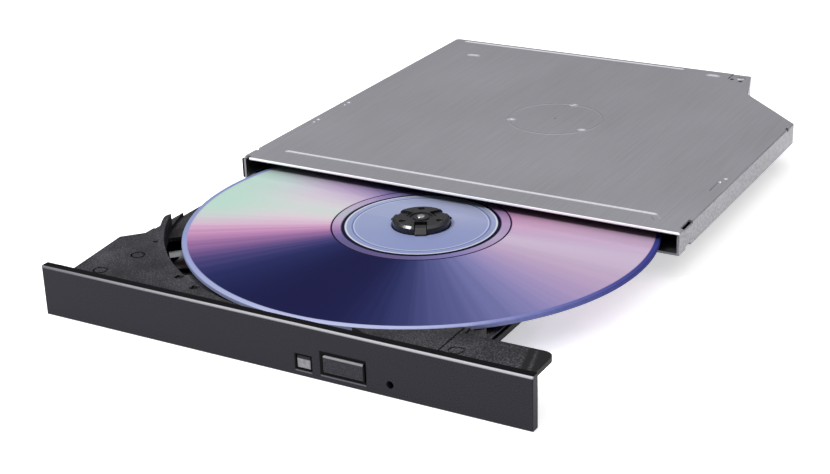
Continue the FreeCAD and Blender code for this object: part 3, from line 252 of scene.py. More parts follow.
# The left end of the front fold is painted dark as shade.
left_end = product(tree, rising(tree, place["Y"], front_fold_y + 0.0002, front_fold_y),
                   rising(tree, place["X"], left_fold_x, left_fold_x - 0.0002))
tone = blended(tree, left_end, tone, painted_cover_shade)
# A highlight is painted along the upper front edge; the strip is made non-metallic so that the painted
# colour shows.
painted_highlight_strip = product(tree, rising(tree, place["Y"], front_fold_y, front_fold_y - 0.0001),
                     rising(tree, place["Z"], upper_edge_z, upper_edge_z + 0.0001))
tree.links.new(blended(tree, painted_highlight_strip, tone, painted_edge_highlight), shader.inputs["Base Color"])
tree.links.new(rising(tree, painted_highlight_strip, 0, 1, 0.85, 0), shader.inputs["Metallic"])
tree.links.new(rising(tree, grain(tree, 0.035), 0.3, 0.7, 0.36, 0.40), shader.inputs["Roughness"])
apart = add(tree, "ShaderNodeVectorMath", place_on(tree), scribed_centre, operation="DISTANCE")
apart = apart.outputs["Value"]
scribed = product(tree, rising(tree, apart, scribed_inner, scribed_inner + scribed_slope),
                  rising(tree, apart, scribed_outer, scribed_outer - scribed_slope))
brushed = relief(tree, shader, lines, depth=0.00002, strength=0.45)
relief(tree, shader, scribed, depth=0.00008, strength=0.8, under=brushed)
dress("top_cover", cover_steel, width=0.00025, segments=3, angle=8)

# Guides and rails: a white acetal guide on each side wall, and a bright steel rail that
# runs half as far as the tray and carries it.


def mottled(name, metal, rough, patch, dark, light, pores=None, reach=0.15, more=None):
    """A finish in two close tones; pores are the size, depth and strength of its relief."""
    material, tree, shader = new_finish(name, metal, rough, more)
    tone = ramp(tree, grain(tree, patch), [(0.5 - reach, paint(*dark)), (0.5 + reach, paint(*light))])
    tree.links.new(tone, shader.inputs["Base Color"])
    if pores:
        size, depth, strength = pores
        relief(tree, shader, grain(tree, size), depth, strength)
    return material


acetal = mottled("natural_acetal", metal=0.0, rough=0.38, patch=0.004, dark=(208, 205, 193),
                 light=(222, 218, 209), pores=(0.0003, 0.00001, 0.3),
                 more={"Subsurface Weight": 0.1, "Subsurface Scale": 0.0006})
rail_steel = sheet_steel("bright_rail_steel", paint(196, 197, 200), rough=0.24, turn=90.0)
for node in ("left_guide", "right_guide"):
    dress(node, acetal, width=0.0001)
for node in ("left_slide_rail", "right_slide_rail"):
    dress(node, rail_steel, width=0.00008)

# Cover screws: three small zinc-plated pan heads with a cross recess. One holds the
# cover down near its rear corner and two go in through the rear wall.


def lathe(mesh, outline, centre=(0, 0), steps=32):
    """Turns an outline of radii and heights round an upright axis."""
    rings = []
    for radius, z in outline:
        if radius == 0:
            rings.append([mesh.verts.new((centre[0], centre[1], z))])
            continue
        turns = [2 * math.pi * step / steps for step in range(steps)]
        rings.append([mesh.verts.new((centre[0] + radius * math.cos(turn),
                                      centre[1] + radius * math.sin(turn), z)) for turn in turns])
    for lower, upper in zip(rings, rings[1:]):
        for step in range(steps):
            after = (step + 1) % steps
            if len(lower) == 1:
                mesh.faces.new((lower[0], upper[after], upper[step]))
            elif len(upper) == 1:
                mesh.faces.new((lower[step], lower[after], upper[0]))
            else:
                mesh.faces.new((lower[step], lower[after], upper[after], upper[step]))


def bar(mesh, low, high):
    """A box between two corners."""
    for corner in bmesh.ops.create_cube(mesh, size=1.0)["verts"]:
        corner.co = [(start + end) / 2 + part * (end - start)
                     for start, end, part in zip(low, high, corner.co)]


def piece_of(name, mesh, body, material, smooth=True):
    """A new piece made of a mesh, riding on a body and given its finish."""
    bmesh.ops.recalc_face_normals(mesh, faces=mesh.faces)
    data = bpy.data.meshes.new(name)
    mesh.to_mesh(data)
    mesh.free()
    for polygon in data.polygons:
        polygon.use_smooth = smooth
    piece = bpy.data.objects.new(name, data)
    bpy.context.scene.collection.objects.link(piece)
    data.materials.append(material)
    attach(piece, body)
    return piece


def cross_head(radius, height, shank, length):
    """Mesh of a screw whose head stands on z = 0 and whose shank hangs below it."""
    head = bmesh.new()
    lathe(head, [(0, -length), (shank * 0.5, -length), (shank, -length + shank * 0.6), (shank, 0),
                 (radius, 0), (radius, height * 0.45), (radius * 0.93, height * 0.75),
                 (radius * 0.72, height * 0.95), (radius * 0.4, height), (0, height)], steps=28)
    recess = bmesh.new()
    arm = radius * 0.62
    half = radius * 0.13
    bar(recess, (-arm, -half, height * 0.3), (arm, half, height * 2))
    bar(recess, (-half, -arm, height * 0.3), (half, arm, height * 2))
    shapes = []
    for mesh in (head, recess):
        bmesh.ops.recalc_face_normals(mesh, faces=mesh.faces)
        data = bpy.data.meshes.new("blank")
        mesh.to_mesh(data)
        mesh.free()
        shapes.append(bpy.data.objects.new("blank", data))
        bpy.context.scene.collection.objects.link(shapes[-1])
    cut = shapes[0].modifiers.new("recess", "BOOLEAN")
    cut.operation = "DIFFERENCE"
    cut.object = shapes[1]
    cut.use_self = True
    bpy.context.view_layer.update()
    whole = bpy.data.meshes.new_from_object(shapes[0].evaluated_get(bpy.context.evaluated_depsgraph_get()))
    for shape in shapes:
        bpy.data.objects.remove(shape)
    return whole


def screws(name, body, material, places, sizes, stands_for):
    """Screws set at places, each with the heading of its head and a turn of its recess."""
    mesh = bmesh.new()
    for place, heading, turn in places:
        one = bmesh.new()
        one.from_mesh(cross_head(*sizes))
        aim = Vector(heading).to_track_quat("Z", "Y").to_matrix().to_4x4()
        one.transform(Matrix.Translation(place) @ aim @ Matrix.Rotation(turn, 4, "Z"))
        data = bpy.data.meshes.new("one")
        one.to_mesh(data)
        one.free()
        mesh.from_mesh(data)
    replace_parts(piece_of(name, mesh, body, material, smooth=False), stands_for)


zinc = sheet_steel("zinc_plate", paint(206, 208, 212), rough=0.25, turn=20.0, line=0.0001, run=8.0,
                   contrast=0.08)
up = (0, 0, 1)
rear = (0, 1, 0)
cover_screw_places = [((0.0364, 0.1232, 0.0124), up, 0.4), ((-0.020, 0.1259, 0.0097), rear, 0.9),
                      ((0.020, 0.1259, 0.0097), rear, 0.2)]
cover_screw_sizes = (0.00145, 0.0003, 0.0007, 0.0016)
screws("cover_screw_heads", "case", zinc, cover_screw_places, cover_screw_sizes,
       stands_for="cover_screws")

# Main board and tray board: green glass-fibre boards with etched copper tracks under
# the varnish. One is screwed down at the rear of the chassis, the other behind the
# front panel.

board_green, tree, shader = new_finish("green_board", metal=0.0, rough=0.32)
tracks = add(tree, "ShaderNodeTexBrick", offset=0.5, squash=1.4, Vector=place_on(tree), Scale=420,
             Color1=paint(18, 92, 52), Color2=paint(20, 84, 48), Mortar=paint(42, 128, 72))
tracks.inputs["Mortar Size"].default_value = 0.035
tree.links.new(tracks.outputs["Color"], shader.inputs["Base Color"])
relief(tree, shader, tracks.outputs["Fac"], depth=0.00002, strength=0.4)
dress("main_board", board_green, width=0.00004)
dress("tray_board", board_green, width=0.00004)

# Chips and eject switch: the controller, memory and driver chips of the main board and
# the small push switch of the tray board, moulded in dark epoxy and soldered flat.

epoxy = mottled("moulded_epoxy", metal=0.0, rough=0.48, patch=0.0004, dark=(30, 30, 32),
                light=(40, 40, 42), pores=(0.00012, 0.00001, 0.4))
for node in ("board_chips", "tact_switch"):
    dress(node, epoxy, width=0.0001)

# Board screws: four zinc-plated pan heads that clamp the main board down on the
# raised standoffs of the chassis.

board_screw_places = [((-0.0545, 0.101, 0.002), up, 0.3), ((0.008, 0.1015, 0.002), up, 1.0),
                      ((-0.020, 0.121, 0.002), up, 0.6), ((0.0376, 0.104, 0.002), up, 0.1)]
board_screw_sizes = (0.0013, 0.0006, 0.00065, 0.0016)
screws("board_screw_heads", "case", zinc, board_screw_places, board_screw_sizes,
       stands_for="board_screws")

# Capacitors: four drawn aluminium cans, each with a groove rolled in near its foot and
# a rounded rim, soldered upright to the main board.

can_sleeve, tree, shader = new_finish("can_sleeve", metal=0.85, rough=0.28)
tone = ramp(tree, grain(tree, 0.0005, 6.0), [(0.3, paint(180, 183, 188)), (0.7, paint(208, 210, 214))])
tree.links.new(tone, shader.inputs["Base Color"])
can_outline = [(0, 0.002), (0.00155, 0.002), (0.00155, 0.0024), (0.00145, 0.0026), (0.00155, 0.0028),
               (0.00155, 0.0041), (0.00145, 0.0043), (0.0011, 0.0044), (0.00105, 0.00435), (0, 0.00435)]
can_places = [(-0.038, 0.120), (-0.032, 0.120), (0.0, 0.121), (0.022, 0.106)]
mesh = bmesh.new()
for can_place in can_places:
    lathe(mesh, can_outline, can_place, 24)
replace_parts(piece_of("capacitor_cans", mesh, "case", can_sleeve), "board_capacitors")

# Data and power connector: one black moulding, soldered to the main board and open
# through the rear wall, with seven and six gilded contacts laid on its tongue.

socket_black = mottled("socket_black", metal=0.0, rough=0.42, patch=0.0006, dark=(24, 24, 26),
                       light=(33, 33, 35), pores=(0.00015, 0.000012, 0.4))
dress("sata_connector", socket_black, width=0.0001)
gold = mottled("gold_contacts", metal=1.0, rough=0.22, patch=0.0004, dark=(208, 170, 92),
               light=(228, 192, 112), reach=0.2)
contact_pitch = 0.00127
contact_half_width = 0.0003
contact_front, contact_rear = 0.1209, 0.1254
contact_under, contact_over = 0.00469, 0.00478
mesh = bmesh.new()
for first, count in ((0.0111, 7), (0.0223, 6)):
    for index in range(count):
        x = first + contact_pitch * index
        bar(mesh, (x - contact_half_width, contact_front, contact_under),
            (x + contact_half_width, contact_rear, contact_over))
contacts = piece_of("socket_contacts", mesh, "case", gold, smooth=False)
bevel = contacts.modifiers.new("edges", "BEVEL")
bevel.width = 0.00002
bevel.segments = 2
bevel.limit_method = "ANGLE"
bevel.angle_limit = math.radians(30)
bevel.harden_normals = True

# Flex socket: an ivory moulding soldered to the main board, which clamps the end of
# the flat flex.

ivory = mottled("ivory_socket", metal=0.0, rough=0.4, patch=0.0008, dark=(212, 206, 186),
                light=(226, 221, 203), pores=(0.0002, 0.00001, 0.3))
dress("flex_socket", ivory, width=0.00008)

# Flat flex: a pale film with a row of tinned conductors inside, from the main board's
# socket to the tray. The pickup has its own, of amber film.


def ribbon_film(name, film, conductor, pitch, heading):
    """Film with conductors that show as stripes across one heading."""
    material, tree, shader = new_finish(name, 0.0, 0.3)
    mapping = add(tree, "ShaderNodeMapping", vector_type="TEXTURE", Vector=place_on(tree),
                  Rotation=(0, 0, math.radians(heading)))
    stripes = add(tree, "ShaderNodeTexWave", bands_direction="X", Vector=mapping.outputs["Vector"],
                  Scale=math.pi / 10 / pitch).outputs["Fac"]
    tree.links.new(ramp(tree, stripes, [(0.35, film), (0.5, conductor)]), shader.inputs["Base Color"])
    relief(tree, shader, stripes, depth=0.00003, strength=0.4)
    return material


pale_film = ribbon_film("pale_film", paint(206, 205, 198), paint(168, 170, 174), 0.001, 0)
amber_film = ribbon_film("amber_film", paint(170, 104, 26), paint(120, 62, 12), 0.0007, 135)
dress("flat_flex_cable", pale_film, width=0.00003)
dress("pickup_flex", amber_film, width=0.00002)

# Latch post and ejector pin: a plated steel post that the tray's latch hooks, and the
# moulded acetal pin that the ejector spring slides on.

dress("latch_post", zinc, width=0.0001)
dress("ejector_pin", acetal, width=0.00012)

# Ejector spring: thirteen turns of bright steel wire round the pin. The closing tray
# presses it together, and it starts the tray moving when the latch lets go.


def coil(name, body, material, start, heading, length, radius, wire, turns, stands_for):
    """A coil of round wire wound along a heading."""
    curve = bpy.data.curves.new(name, "CURVE")
    curve.dimensions = "3D"
    curve.bevel_depth = wire / 2
    curve.bevel_resolution = 3
    steps = int(turns * 16)
    spline = curve.splines.new("NURBS")
    spline.points.add(steps)
    aim = Vector(heading).to_track_quat("Z", "Y").to_matrix()
    for step in range(steps + 1):
        turn = 2 * math.pi * turns * step / steps
        along = wire / 2 + (length - wire) * step / steps
        point = Vector(start) + aim @ Vector((radius * math.cos(turn), radius * math.sin(turn), along))
        spline.points[step].co = (*point, 1)
    spline.order_u = 3
    spline.use_endpoint_u = True
    winding = bpy.data.objects.new("winding", curve)
    mesh = bmesh.new()
    mesh.from_mesh(bpy.data.meshes.new_from_object(winding))
    bpy.data.objects.remove(winding)
    piece = piece_of(name, mesh, body, material)
    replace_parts(piece, stands_for)
    return piece


spring_wire = sheet_steel("spring_wire", paint(176, 178, 184), rough=0.22, turn=0.0, line=0.0001, run=10.0)
ejector_coil = coil("ejector_coil", "case", spring_wire, start=(-0.052, 0.074, 0.0042), heading=rear,
                    length=0.0218, radius=0.00148, wire=0.0004, turns=13,
                    stands_for="ejector_spring")
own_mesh(ejector_coil)

# Tray: one moulding of charcoal plastic with a fine grain. A deck in front, a round
# well for the disc, a rear shelf and an ear at the right that fills the front's width.

painted_groove_shade = paint(12, 12, 14)
groove_lean = 0.266
ear_grooves = [(0.0388, 0.0402), (0.0412, 0.044)]
tray_charcoal, tree, shader = new_finish("charcoal_tray_plastic", metal=0.0, rough=0.6,
                                         more={"Specular IOR Level": 0.2})
speck = grain(tree, 0.00035, detail=4.0)
mixed = added_share(tree, speck, 0.7, product(tree, grain(tree, 0.012), 0.3))
tone = ramp(tree, mixed, [(0.36, paint(10, 10, 12)), (0.5, paint(31, 30, 34)), (0.64, paint(78, 77, 83))])
place = split(tree, place_on(tree))
lean = added_share(tree, place["Y"], groove_lean, place["X"])
# Two leaning dark bands across the ear are painted groove shade.
for low, high in ear_grooves:
    band = product(tree, rising(tree, lean, low - 0.0005, low + 0.0002),
                   rising(tree, lean, high + 0.0005, high - 0.0002))
    tone = blended(tree, band, tone, painted_groove_shade)
tree.links.new(tone, shader.inputs["Base Color"])
tree.links.new(rising(tree, speck, 0.3, 0.7, 0.5, 0.65), shader.inputs["Roughness"])
relief(tree, shader, speck, depth=0.00006, strength=0.6)
dress("tray_frame", tray_charcoal, width=0.0001)

# Front panel: a satin charcoal moulding that closes the case and is clipped to the
# tray, with openings for the eject button, the light window and the emergency pin. A
# highlight is painted along its rounded upper edge, and its top face is painted dark
# as shade. Round each opening a black gap is painted as shade, with a painted
# highlight on the lip below it.

panel_dark = paint(34, 33, 39)
panel_light = paint(50, 49, 55)
painted_top_shade = paint(6, 6, 8)
painted_gap_shade = paint(1, 1, 2)
painted_lip_highlight = paint(91, 91, 97)
edge_fade = 0.0001
panel_shine_z = (0.0121, 0.0124)
panel_shine_y = (-0.0821, -0.0822)
panel_openings = [((0.0191, -0.0825, 0.0045), 0.0059, 0.0029), ((0.0089, -0.0825, 0.0035), 0.0023, 0.0020)]
panel_charcoal, tree, shader = new_finish("charcoal_panel_plastic", metal=0.0, rough=0.3,
                                          more={"Specular IOR Level": 0.05})
speck = grain(tree, 0.00022, detail=4.0)
place = split(tree, place_on(tree))
faces = split(tree, facing_on(tree))
tone = ramp(tree, speck, [(0.35, panel_dark), (0.65, panel_light)])
# The top face is painted dark as shade.
tone = blended(tree, rising(tree, faces["Z"], 0.8, 0.95), tone, painted_top_shade)
for centre, half_width, half_height in panel_openings:
    beside = add(tree, "ShaderNodeVectorMath", place_on(tree), centre, operation="SUBTRACT").outputs[0]
    aside = split(tree, add(tree, "ShaderNodeVectorMath", beside, operation="ABSOLUTE").outputs[0])
    # A light strip just below each opening is a painted highlight on its lower lip.
    lip = product(tree, rising(tree, aside["X"], half_width, half_width - 0.0003),
                  rising(tree, split(tree, beside)["Z"], -half_height - 0.0004, -half_height - 0.0003))
    lip = product(tree, lip, rising(tree, place["Z"], centre[2], centre[2] - edge_fade))
    tone = blended(tree, lip, tone, painted_lip_highlight)
    # The gap round each opening is painted black as shade.
    gap = product(tree, rising(tree, aside["X"], half_width + edge_fade, half_width - edge_fade),
                  rising(tree, aside["Z"], half_height + edge_fade, half_height - edge_fade))
    tone = blended(tree, gap, tone, painted_gap_shade)
# A highlight is painted along the rounded upper front edge, brighter towards the right.
edge = product(tree, rising(tree, place["Z"], *panel_shine_z), rising(tree, place["Y"], *panel_shine_y))
shine = ramp(tree, rising(tree, place["X"], -0.064, 0.064),
             [(0, paint(101, 101, 106)), (0.4, paint(152, 152, 157)), (1, paint(168, 168, 173))])
tree.links.new(blended(tree, edge, tone, shine), shader.inputs["Base Color"])
tree.links.new(rising(tree, speck, 0.3, 0.7, 0.26, 0.34), shader.inputs["Roughness"])
relief(tree, shader, speck, depth=0.00002, strength=0.4)
dress("front_panel", panel_charcoal, width=0.00035, segments=4)

# Eject button: a charcoal moulding that slides in its opening, with an acetal plunger
# behind it that works the switch. Its upper edge is rounded, with a highlight painted
# along it; its top face and right side are painted dark as shade.

button_shade = paint(3, 3, 4)
button_shine = paint(129, 129, 134)
button_steps = [("Z", 0.0061, button_shine), ("Z", 0.0065, button_shade), ("X", 0.0243, button_shade)]
button_black, tree, shader = new_finish("button_plastic", metal=0.0, rough=0.3,
                                        more={"Specular IOR Level": 0.08})
speck = grain(tree, 0.0003)
place = split(tree, place_on(tree))
tone = ramp(tree, speck, [(0.35, paint(37, 36, 42)), (0.65, paint(53, 52, 58))])
# A painted highlight along the upper edge, painted shade on the top face and the right side.
for axis, limit, beyond in button_steps:
    tone = blended(tree, rising(tree, place[axis], limit, limit + edge_fade), tone, beyond)
tree.links.new(tone, shader.inputs["Base Color"])
relief(tree, shader, speck, depth=0.00002, strength=0.3)
dress("eject_button", button_black, width=0.0003, segments=3)
dress("switch_plunger", acetal, width=0.00006)

# Light window: a small grey light guide, pressed into the panel in front of the
# indicator light of the tray board.

window_shade = paint(26, 26, 29)
lit_z = (0.0044, 0.0042)
lit_x = (0.0107, 0.0106)
window_grey, tree, shader = new_finish("window_plastic", metal=0.0, rough=0.3,
                                       more={"Specular IOR Level": 0.1})
place = split(tree, place_on(tree))
# Above 4.3 mm and right of 10.6 mm the window is painted dark as shade.
lit = product(tree, rising(tree, place["Z"], *lit_z), rising(tree, place["X"], *lit_x))
tone = ramp(tree, grain(tree, 0.0008), [(0.35, paint(115, 115, 118)), (0.65, paint(136, 136, 139))])
tree.links.new(blended(tree, lit, window_shade, tone), shader.inputs["Base Color"])
relief(tree, shader, grain(tree, 0.0002), depth=0.00001, strength=0.2)
dress("led_window", window_grey, width=0.00008)
dress("indicator_led", acetal, width=0.00005)

# Shield and dust plate: thin sheet steel, one screwed under the tray and one laid on
# the floor of the well round the pickup's window.

shield_steel = sheet_steel("shield_steel", paint(186, 188, 192), rough=0.32, turn=90.0)
dust_steel = sheet_steel("dust_plate_steel", paint(120, 121, 125), rough=0.3, turn=45.0)
dress("under_shield", shield_steel, width=0.00005)
dress("well_cover", dust_steel, width=0.00004)

# Tray screws: blackened heads driven up into the tray from below, five through the
# shield and two through the tray board.

blackened = sheet_steel("blackened_steel", paint(46, 46, 48), rough=0.34, turn=20.0, line=0.0001, run=8.0)
down = (0, 0, -1)
tray_front = -0.0801
shield_screws = [(-0.0548, 0.005), (-0.0562, 0.072), (0.010, 0.088), (0.0105, 0.031), (-0.030, 0.090)]
front_screws = [(-0.0084, 0.0076), (0.0336, 0.008)]
tray_screw_places = [((x, tray_front + y, 0.0016), down, 0.5 + 0.7 * index)
                     for index, (x, y) in enumerate(shield_screws)]
tray_screw_places += [((x, tray_front + y, 0.0019), down, 0.3) for x, y in front_screws]
tray_screw_sizes = (0.0013, 0.0003, 0.0005, 0.0033)
screws("shield_screw_heads", "tray", blackened, tray_screw_places, tray_screw_sizes,
       stands_for="tray_screws")

# Pickup carrier: a stamped steel plate under the well that bears the spindle motor, the
# rods and the sled's drive, with the folded bearing of the lead screw.

carrier_steel = sheet_steel("carrier_steel", paint(120, 122, 126), rough=0.36, turn=45.0)
dress("traverse_chassis", carrier_steel, width=0.00006)
dress("screw_bearing", carrier_steel, width=0.00008)

# Grommets and their screws: three soft rubber rings with a groove for the carrier's
# edge, which keep its tremble off the tray, each held by a blackened shoulder screw.

spindle_place = (0.001, -0.015, 0)
carrier_heading = math.radians(225)


def on_carrier(u, v, z):
    """A point given along and across the carrier from the spindle, in metres."""
    run_x, run_y = math.cos(carrier_heading), math.sin(carrier_heading)
    return Vector(spindle_place) + Vector((u * run_x - v * run_y, u * run_y + v * run_x, z))


rubber = mottled("soft_rubber", metal=0.0, rough=0.7, patch=0.0005, dark=(30, 30, 31),
                 light=(44, 44, 45), pores=(0.0002, 0.00002, 0.5))
grommet_places = [(0.004, 0.015), (0.004, -0.015), (0.0664, 0.0)]
grommet_outline = [
    (0.0008, 0.0017), (0.0019, 0.0017), (0.0022, 0.00178), (0.0022, 0.00192), (0.0019, 0.002),
    (0.00125, 0.002), (0.00125, 0.0028), (0.0019, 0.0028), (0.0022, 0.00288),
    (0.0022, 0.00312), (0.0019, 0.0032), (0.0008, 0.0032), (0.0008, 0.0017)]
mesh = bmesh.new()
for u, v in grommet_places:
    lathe(mesh, grommet_outline, on_carrier(u, v, 0)[:2], 24)
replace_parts(piece_of("rubber_grommets", mesh, "tray", rubber), "damper_grommets")
damper_screw_places = [(on_carrier(u, v, 0.0017), down, 0.4) for u, v in grommet_places]
damper_screw_sizes = (0.0015, 0.0004, 0.00075, 0.0033)
screws("damper_screw_heads", "tray", blackened, damper_screw_places, damper_screw_sizes,
       stands_for="damper_screws")

# Rods, spindle shaft and clamps: ground steel rods that the pickup runs along, held at
# their ends by acetal clamps, and the ground shaft of the spindle.

ground_steel = sheet_steel("ground_shaft_steel", paint(208, 209, 213), rough=0.16, turn=45.0, line=0.00008,
                           run=6.0, contrast=0.05)
dress("guide_rods", ground_steel, width=0.0001)
dress("spindle_shaft", ground_steel, width=0.00015)
dress("rod_clamps", acetal, width=0.00012)

# Sled motor: a small stepping motor in a drawn and plated steel can, fixed to the
# carrier in line with the lead screw.

motor_steel = sheet_steel("plated_motor_steel", paint(116, 117, 120), rough=0.42, turn=0.0, line=0.0002,
                          run=5.0, contrast=0.06)
dress("sled_motor", motor_steel, width=0.0001)

# Lead screw: a thin ground rod with a rolled thread of fifteen turns, on the motor's
# shaft at one end and in the folded bearing at the other. It drives the sled's nut.

thread_turns = 15.0
steps_per_turn = 18
sides = 12
screw_start, screw_end = 0.0117, 0.0566
screw_across = -0.0095
screw_height = 0.0046
core_radius = 0.00084
thread_depth = 0.00014
mesh = bmesh.new()
count = int(thread_turns * steps_per_turn)
rings = []
for index in range(count + 1):
    u = screw_start + (screw_end - screw_start) * index / count
    ring = []
    for side in range(sides):
        turn = 2 * math.pi * side / sides
        phase = (turn / (2 * math.pi) + thread_turns * index / count) % 1.0
        radius = core_radius + thread_depth * (1 - abs(2 * phase - 1))
        v = screw_across + radius * math.cos(turn)
        ring.append(mesh.verts.new(on_carrier(u, v, screw_height + radius * math.sin(turn))))
    rings.append(ring)
for before, after in zip(rings, rings[1:]):
    for side in range(sides):
        mesh.faces.new((before[side], before[(side + 1) % sides], after[(side + 1) % sides], after[side]))
mesh.faces.new(rings[0])
mesh.faces.new(rings[-1])
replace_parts(piece_of("threaded_lead_screw", mesh, "lead_screw", ground_steel), "lead_screw")

# Pickup sled: a die-cast body that runs on the two rods, with an acetal nut that rides
# in the thread of the lead screw.

die_cast = mottled("die_cast_sled", metal=0.7, rough=0.45, patch=0.0006, dark=(120, 121, 124),
                   light=(146, 147, 150), pores=(0.0003, 0.00003, 0.5))
dress("pickup_sled", die_cast, width=0.00012)
dress("sled_nut", acetal, width=0.00008)

# Lens and holder: a pressed glass lens with a violet coating, glued into a dark moulded
# holder that floats above the sled on fine wires.

dress("lens_holder", epoxy, width=0.0001)
lens_along = 0.026
lens_radius = 0.0019
lens_bottom, lens_shoulder, lens_rise = 0.0069, 0.0072, 0.0006
lens_coating = {"Coat Weight": 1.0, "Coat Roughness": 0.03}
lens_glass, tree, shader = new_finish("coated_lens", metal=0.0, rough=0.04, more=lens_coating)
# Its colour goes from blue where it faces the view through violet to pale at its edges: a painted sheen of
# its coating.
facing = add(tree, "ShaderNodeLayerWeight", Blend=0.35).outputs["Facing"]
tone = ramp(tree, facing,
            [(0.0, paint(96, 120, 190)), (0.6, paint(150, 110, 190)), (1.0, paint(214, 206, 230))])
tree.links.new(tone, shader.inputs["Base Color"])
slopes = [math.radians(angle) for angle in range(0, 90, 10)]
dome = [(lens_radius * math.cos(slope), lens_shoulder + lens_rise * math.sin(slope)) for slope in slopes]
lens_outline = [(0, lens_bottom), (lens_radius, lens_bottom)] + dome + [(0, lens_shoulder + lens_rise)]
mesh = bmesh.new()
lathe(mesh, lens_outline, on_carrier(lens_along, 0, 0)[:2])
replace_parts(piece_of("domed_lens", mesh, "lens", lens_glass), "objective_lens")

# Spindle motor: a plated base with its bearing sleeve, nine wound poles and a steel
# cup with a ring magnet, all under the turntable.

copper, tree, shader = new_finish("enamelled_copper", metal=0.6, rough=0.3)
wire_turns = add(tree, "ShaderNodeTexWave", bands_direction="Z", Scale=900, Vector=place_on(tree))
wire_turns = wire_turns.outputs["Fac"]
tone = ramp(tree, wire_turns, [(0.2, paint(120, 54, 22)), (0.8, paint(190, 100, 50))])
tree.links.new(tone, shader.inputs["Base Color"])
relief(tree, shader, wire_turns, depth=0.00005, strength=0.5)
dress("motor_base", motor_steel, width=0.00006)
dress("stator", copper, width=0.0001)
dress("motor_rotor", motor_steel, width=0.0001)
dress("rotor_magnet", epoxy, width=0.00006)

# Turntable: a black hub on a steel platform, with three sprung claws that snap over the
# edge of the disc's hole, and a rubber ring that the disc lies on.

hub_black = mottled("black_hub_plastic", metal=0.0, rough=0.25, patch=0.0005, dark=(16, 16, 18),
                    light=(30, 30, 33), pores=(0.0005, 0.00005, 0.5))
for node in ("turntable_hub", "hub_claw_1", "hub_claw_2", "hub_claw_3"):
    dress(node, hub_black, width=0.00015)
dress("turntable_ring", rubber, width=0.0001)

# Disc: clear polycarbonate with a dyed, mirrored data band. A clear middle with its
# stacking ring, a mirrored seam, the data band, and a clear rim. The colours into which
# the data band splits light, and the tints of the clear middle and rim, are painted
# reflections set by heading round the disc.

disc_outline = [
    (0.0075, 0.0087), (0.0077, 0.0085), (0.0168, 0.0085), (0.0170, 0.0085), (0.0598, 0.0085),
    (0.06, 0.0087), (0.06, 0.0095), (0.0598, 0.0097), (0.0229, 0.0097), (0.0228, 0.00964),
    (0.0226, 0.00964), (0.0225, 0.0097), (0.0204, 0.0097), (0.0202, 0.0096), (0.0196, 0.0096),
    (0.0194, 0.0097), (0.0181, 0.0097), (0.0180, 0.00966), (0.0178, 0.00966), (0.0177, 0.0097),
    (0.0077, 0.0097), (0.0075, 0.0095), (0.0075, 0.0087)]
mesh = bmesh.new()
lathe(mesh, disc_outline, spindle_place, 256)
disc_finish, tree, shader = new_finish("coated_disc", metal=0.3, rough=0.2, more={"IOR": 1.05})
centred = add(tree, "ShaderNodeVectorMath", place_on(tree), spindle_place, operation="SUBTRACT").outputs[0]
flat = add(tree, "ShaderNodeVectorMath", centred, (1, 1, 0), operation="MULTIPLY").outputs[0]
radius = add(tree, "ShaderNodeVectorMath", flat, operation="LENGTH").outputs["Value"]
heading = add(tree, "ShaderNodeVectorMath", flat, operation="NORMALIZE").outputs[0]
axes = split(tree, heading)
turn = add(tree, "ShaderNodeMath", axes["Y"], axes["X"], operation="ARCTAN2").outputs[0]
streak = add(tree, "ShaderNodeTexNoise", Vector=heading, Scale=26, Detail=3).outputs[0]
full_turn = rising(tree, added_share(tree, streak, 0.16, turn), -math.pi + 0.08, math.pi + 0.08)


def disc_tone(red, green, blue):
    """A colour of the disc under the studio's strong light."""
    return shift(paint(red, green, blue), -0.28)


def round_disc(tones):
    """Painted reflection colours set by heading round the disc, from -180 to 180 degrees."""
    stops = [((angle + 180) / 360, disc_tone(*colour)) for angle, colour in tones]
    return ramp(tree, full_turn, stops, "B_SPLINE")


data_band = round_disc([
    (-180, (228, 226, 230)), (-172, (216, 232, 224)), (-164, (238, 222, 232)), (-158, (232, 206, 226)),
    (-150, (222, 160, 204)), (-141, (158, 112, 168)), (-132, (76, 72, 132)), (-122, (34, 44, 98)),
    (-105, (26, 26, 74)), (-80, (24, 24, 74)), (-68, (46, 54, 108)), (-58, (80, 82, 138)),
    (-44, (112, 116, 172)), (-32, (150, 144, 198)), (-20, (192, 166, 206)), (-8, (206, 182, 210)),
    (2, (224, 206, 230)), (12, (206, 180, 212)), (30, (226, 176, 208)), (56, (176, 118, 176)),
    (76, (66, 62, 130)), (96, (26, 28, 80)), (116, (44, 44, 108)), (136, (112, 106, 172)),
    (154, (196, 170, 212)), (170, (226, 214, 228)), (180, (228, 226, 230))])
# A mint patch on the left of the data band is a painted reflection as well.
mint = product(tree, rising(tree, axes["X"], -0.90, -0.97, 0, 0.7), rising(tree, radius, 0.036, 0.054))
data_band = blended(tree, mint, data_band, disc_tone(190, 234, 214))
clear_rim = round_disc([
    (-180, (138, 150, 190)), (-130, (150, 160, 204)), (-90, (188, 194, 228)), (-60, (190, 196, 232)),
    (-40, (120, 126, 190)), (-10, (66, 70, 146)), (30, (56, 58, 134)), (120, (110, 120, 180)),
    (180, (138, 150, 190))])
clear_middle = round_disc([
    (-180, (168, 178, 214)), (-90, (148, 160, 206)), (0, (152, 162, 208)), (60, (180, 186, 216)),
    (180, (168, 178, 214))])
mirrored_seam = blended(tree, 0.45, data_band, disc_tone(150, 136, 190))
rim_start, rim_end = 0.0585, 0.0588
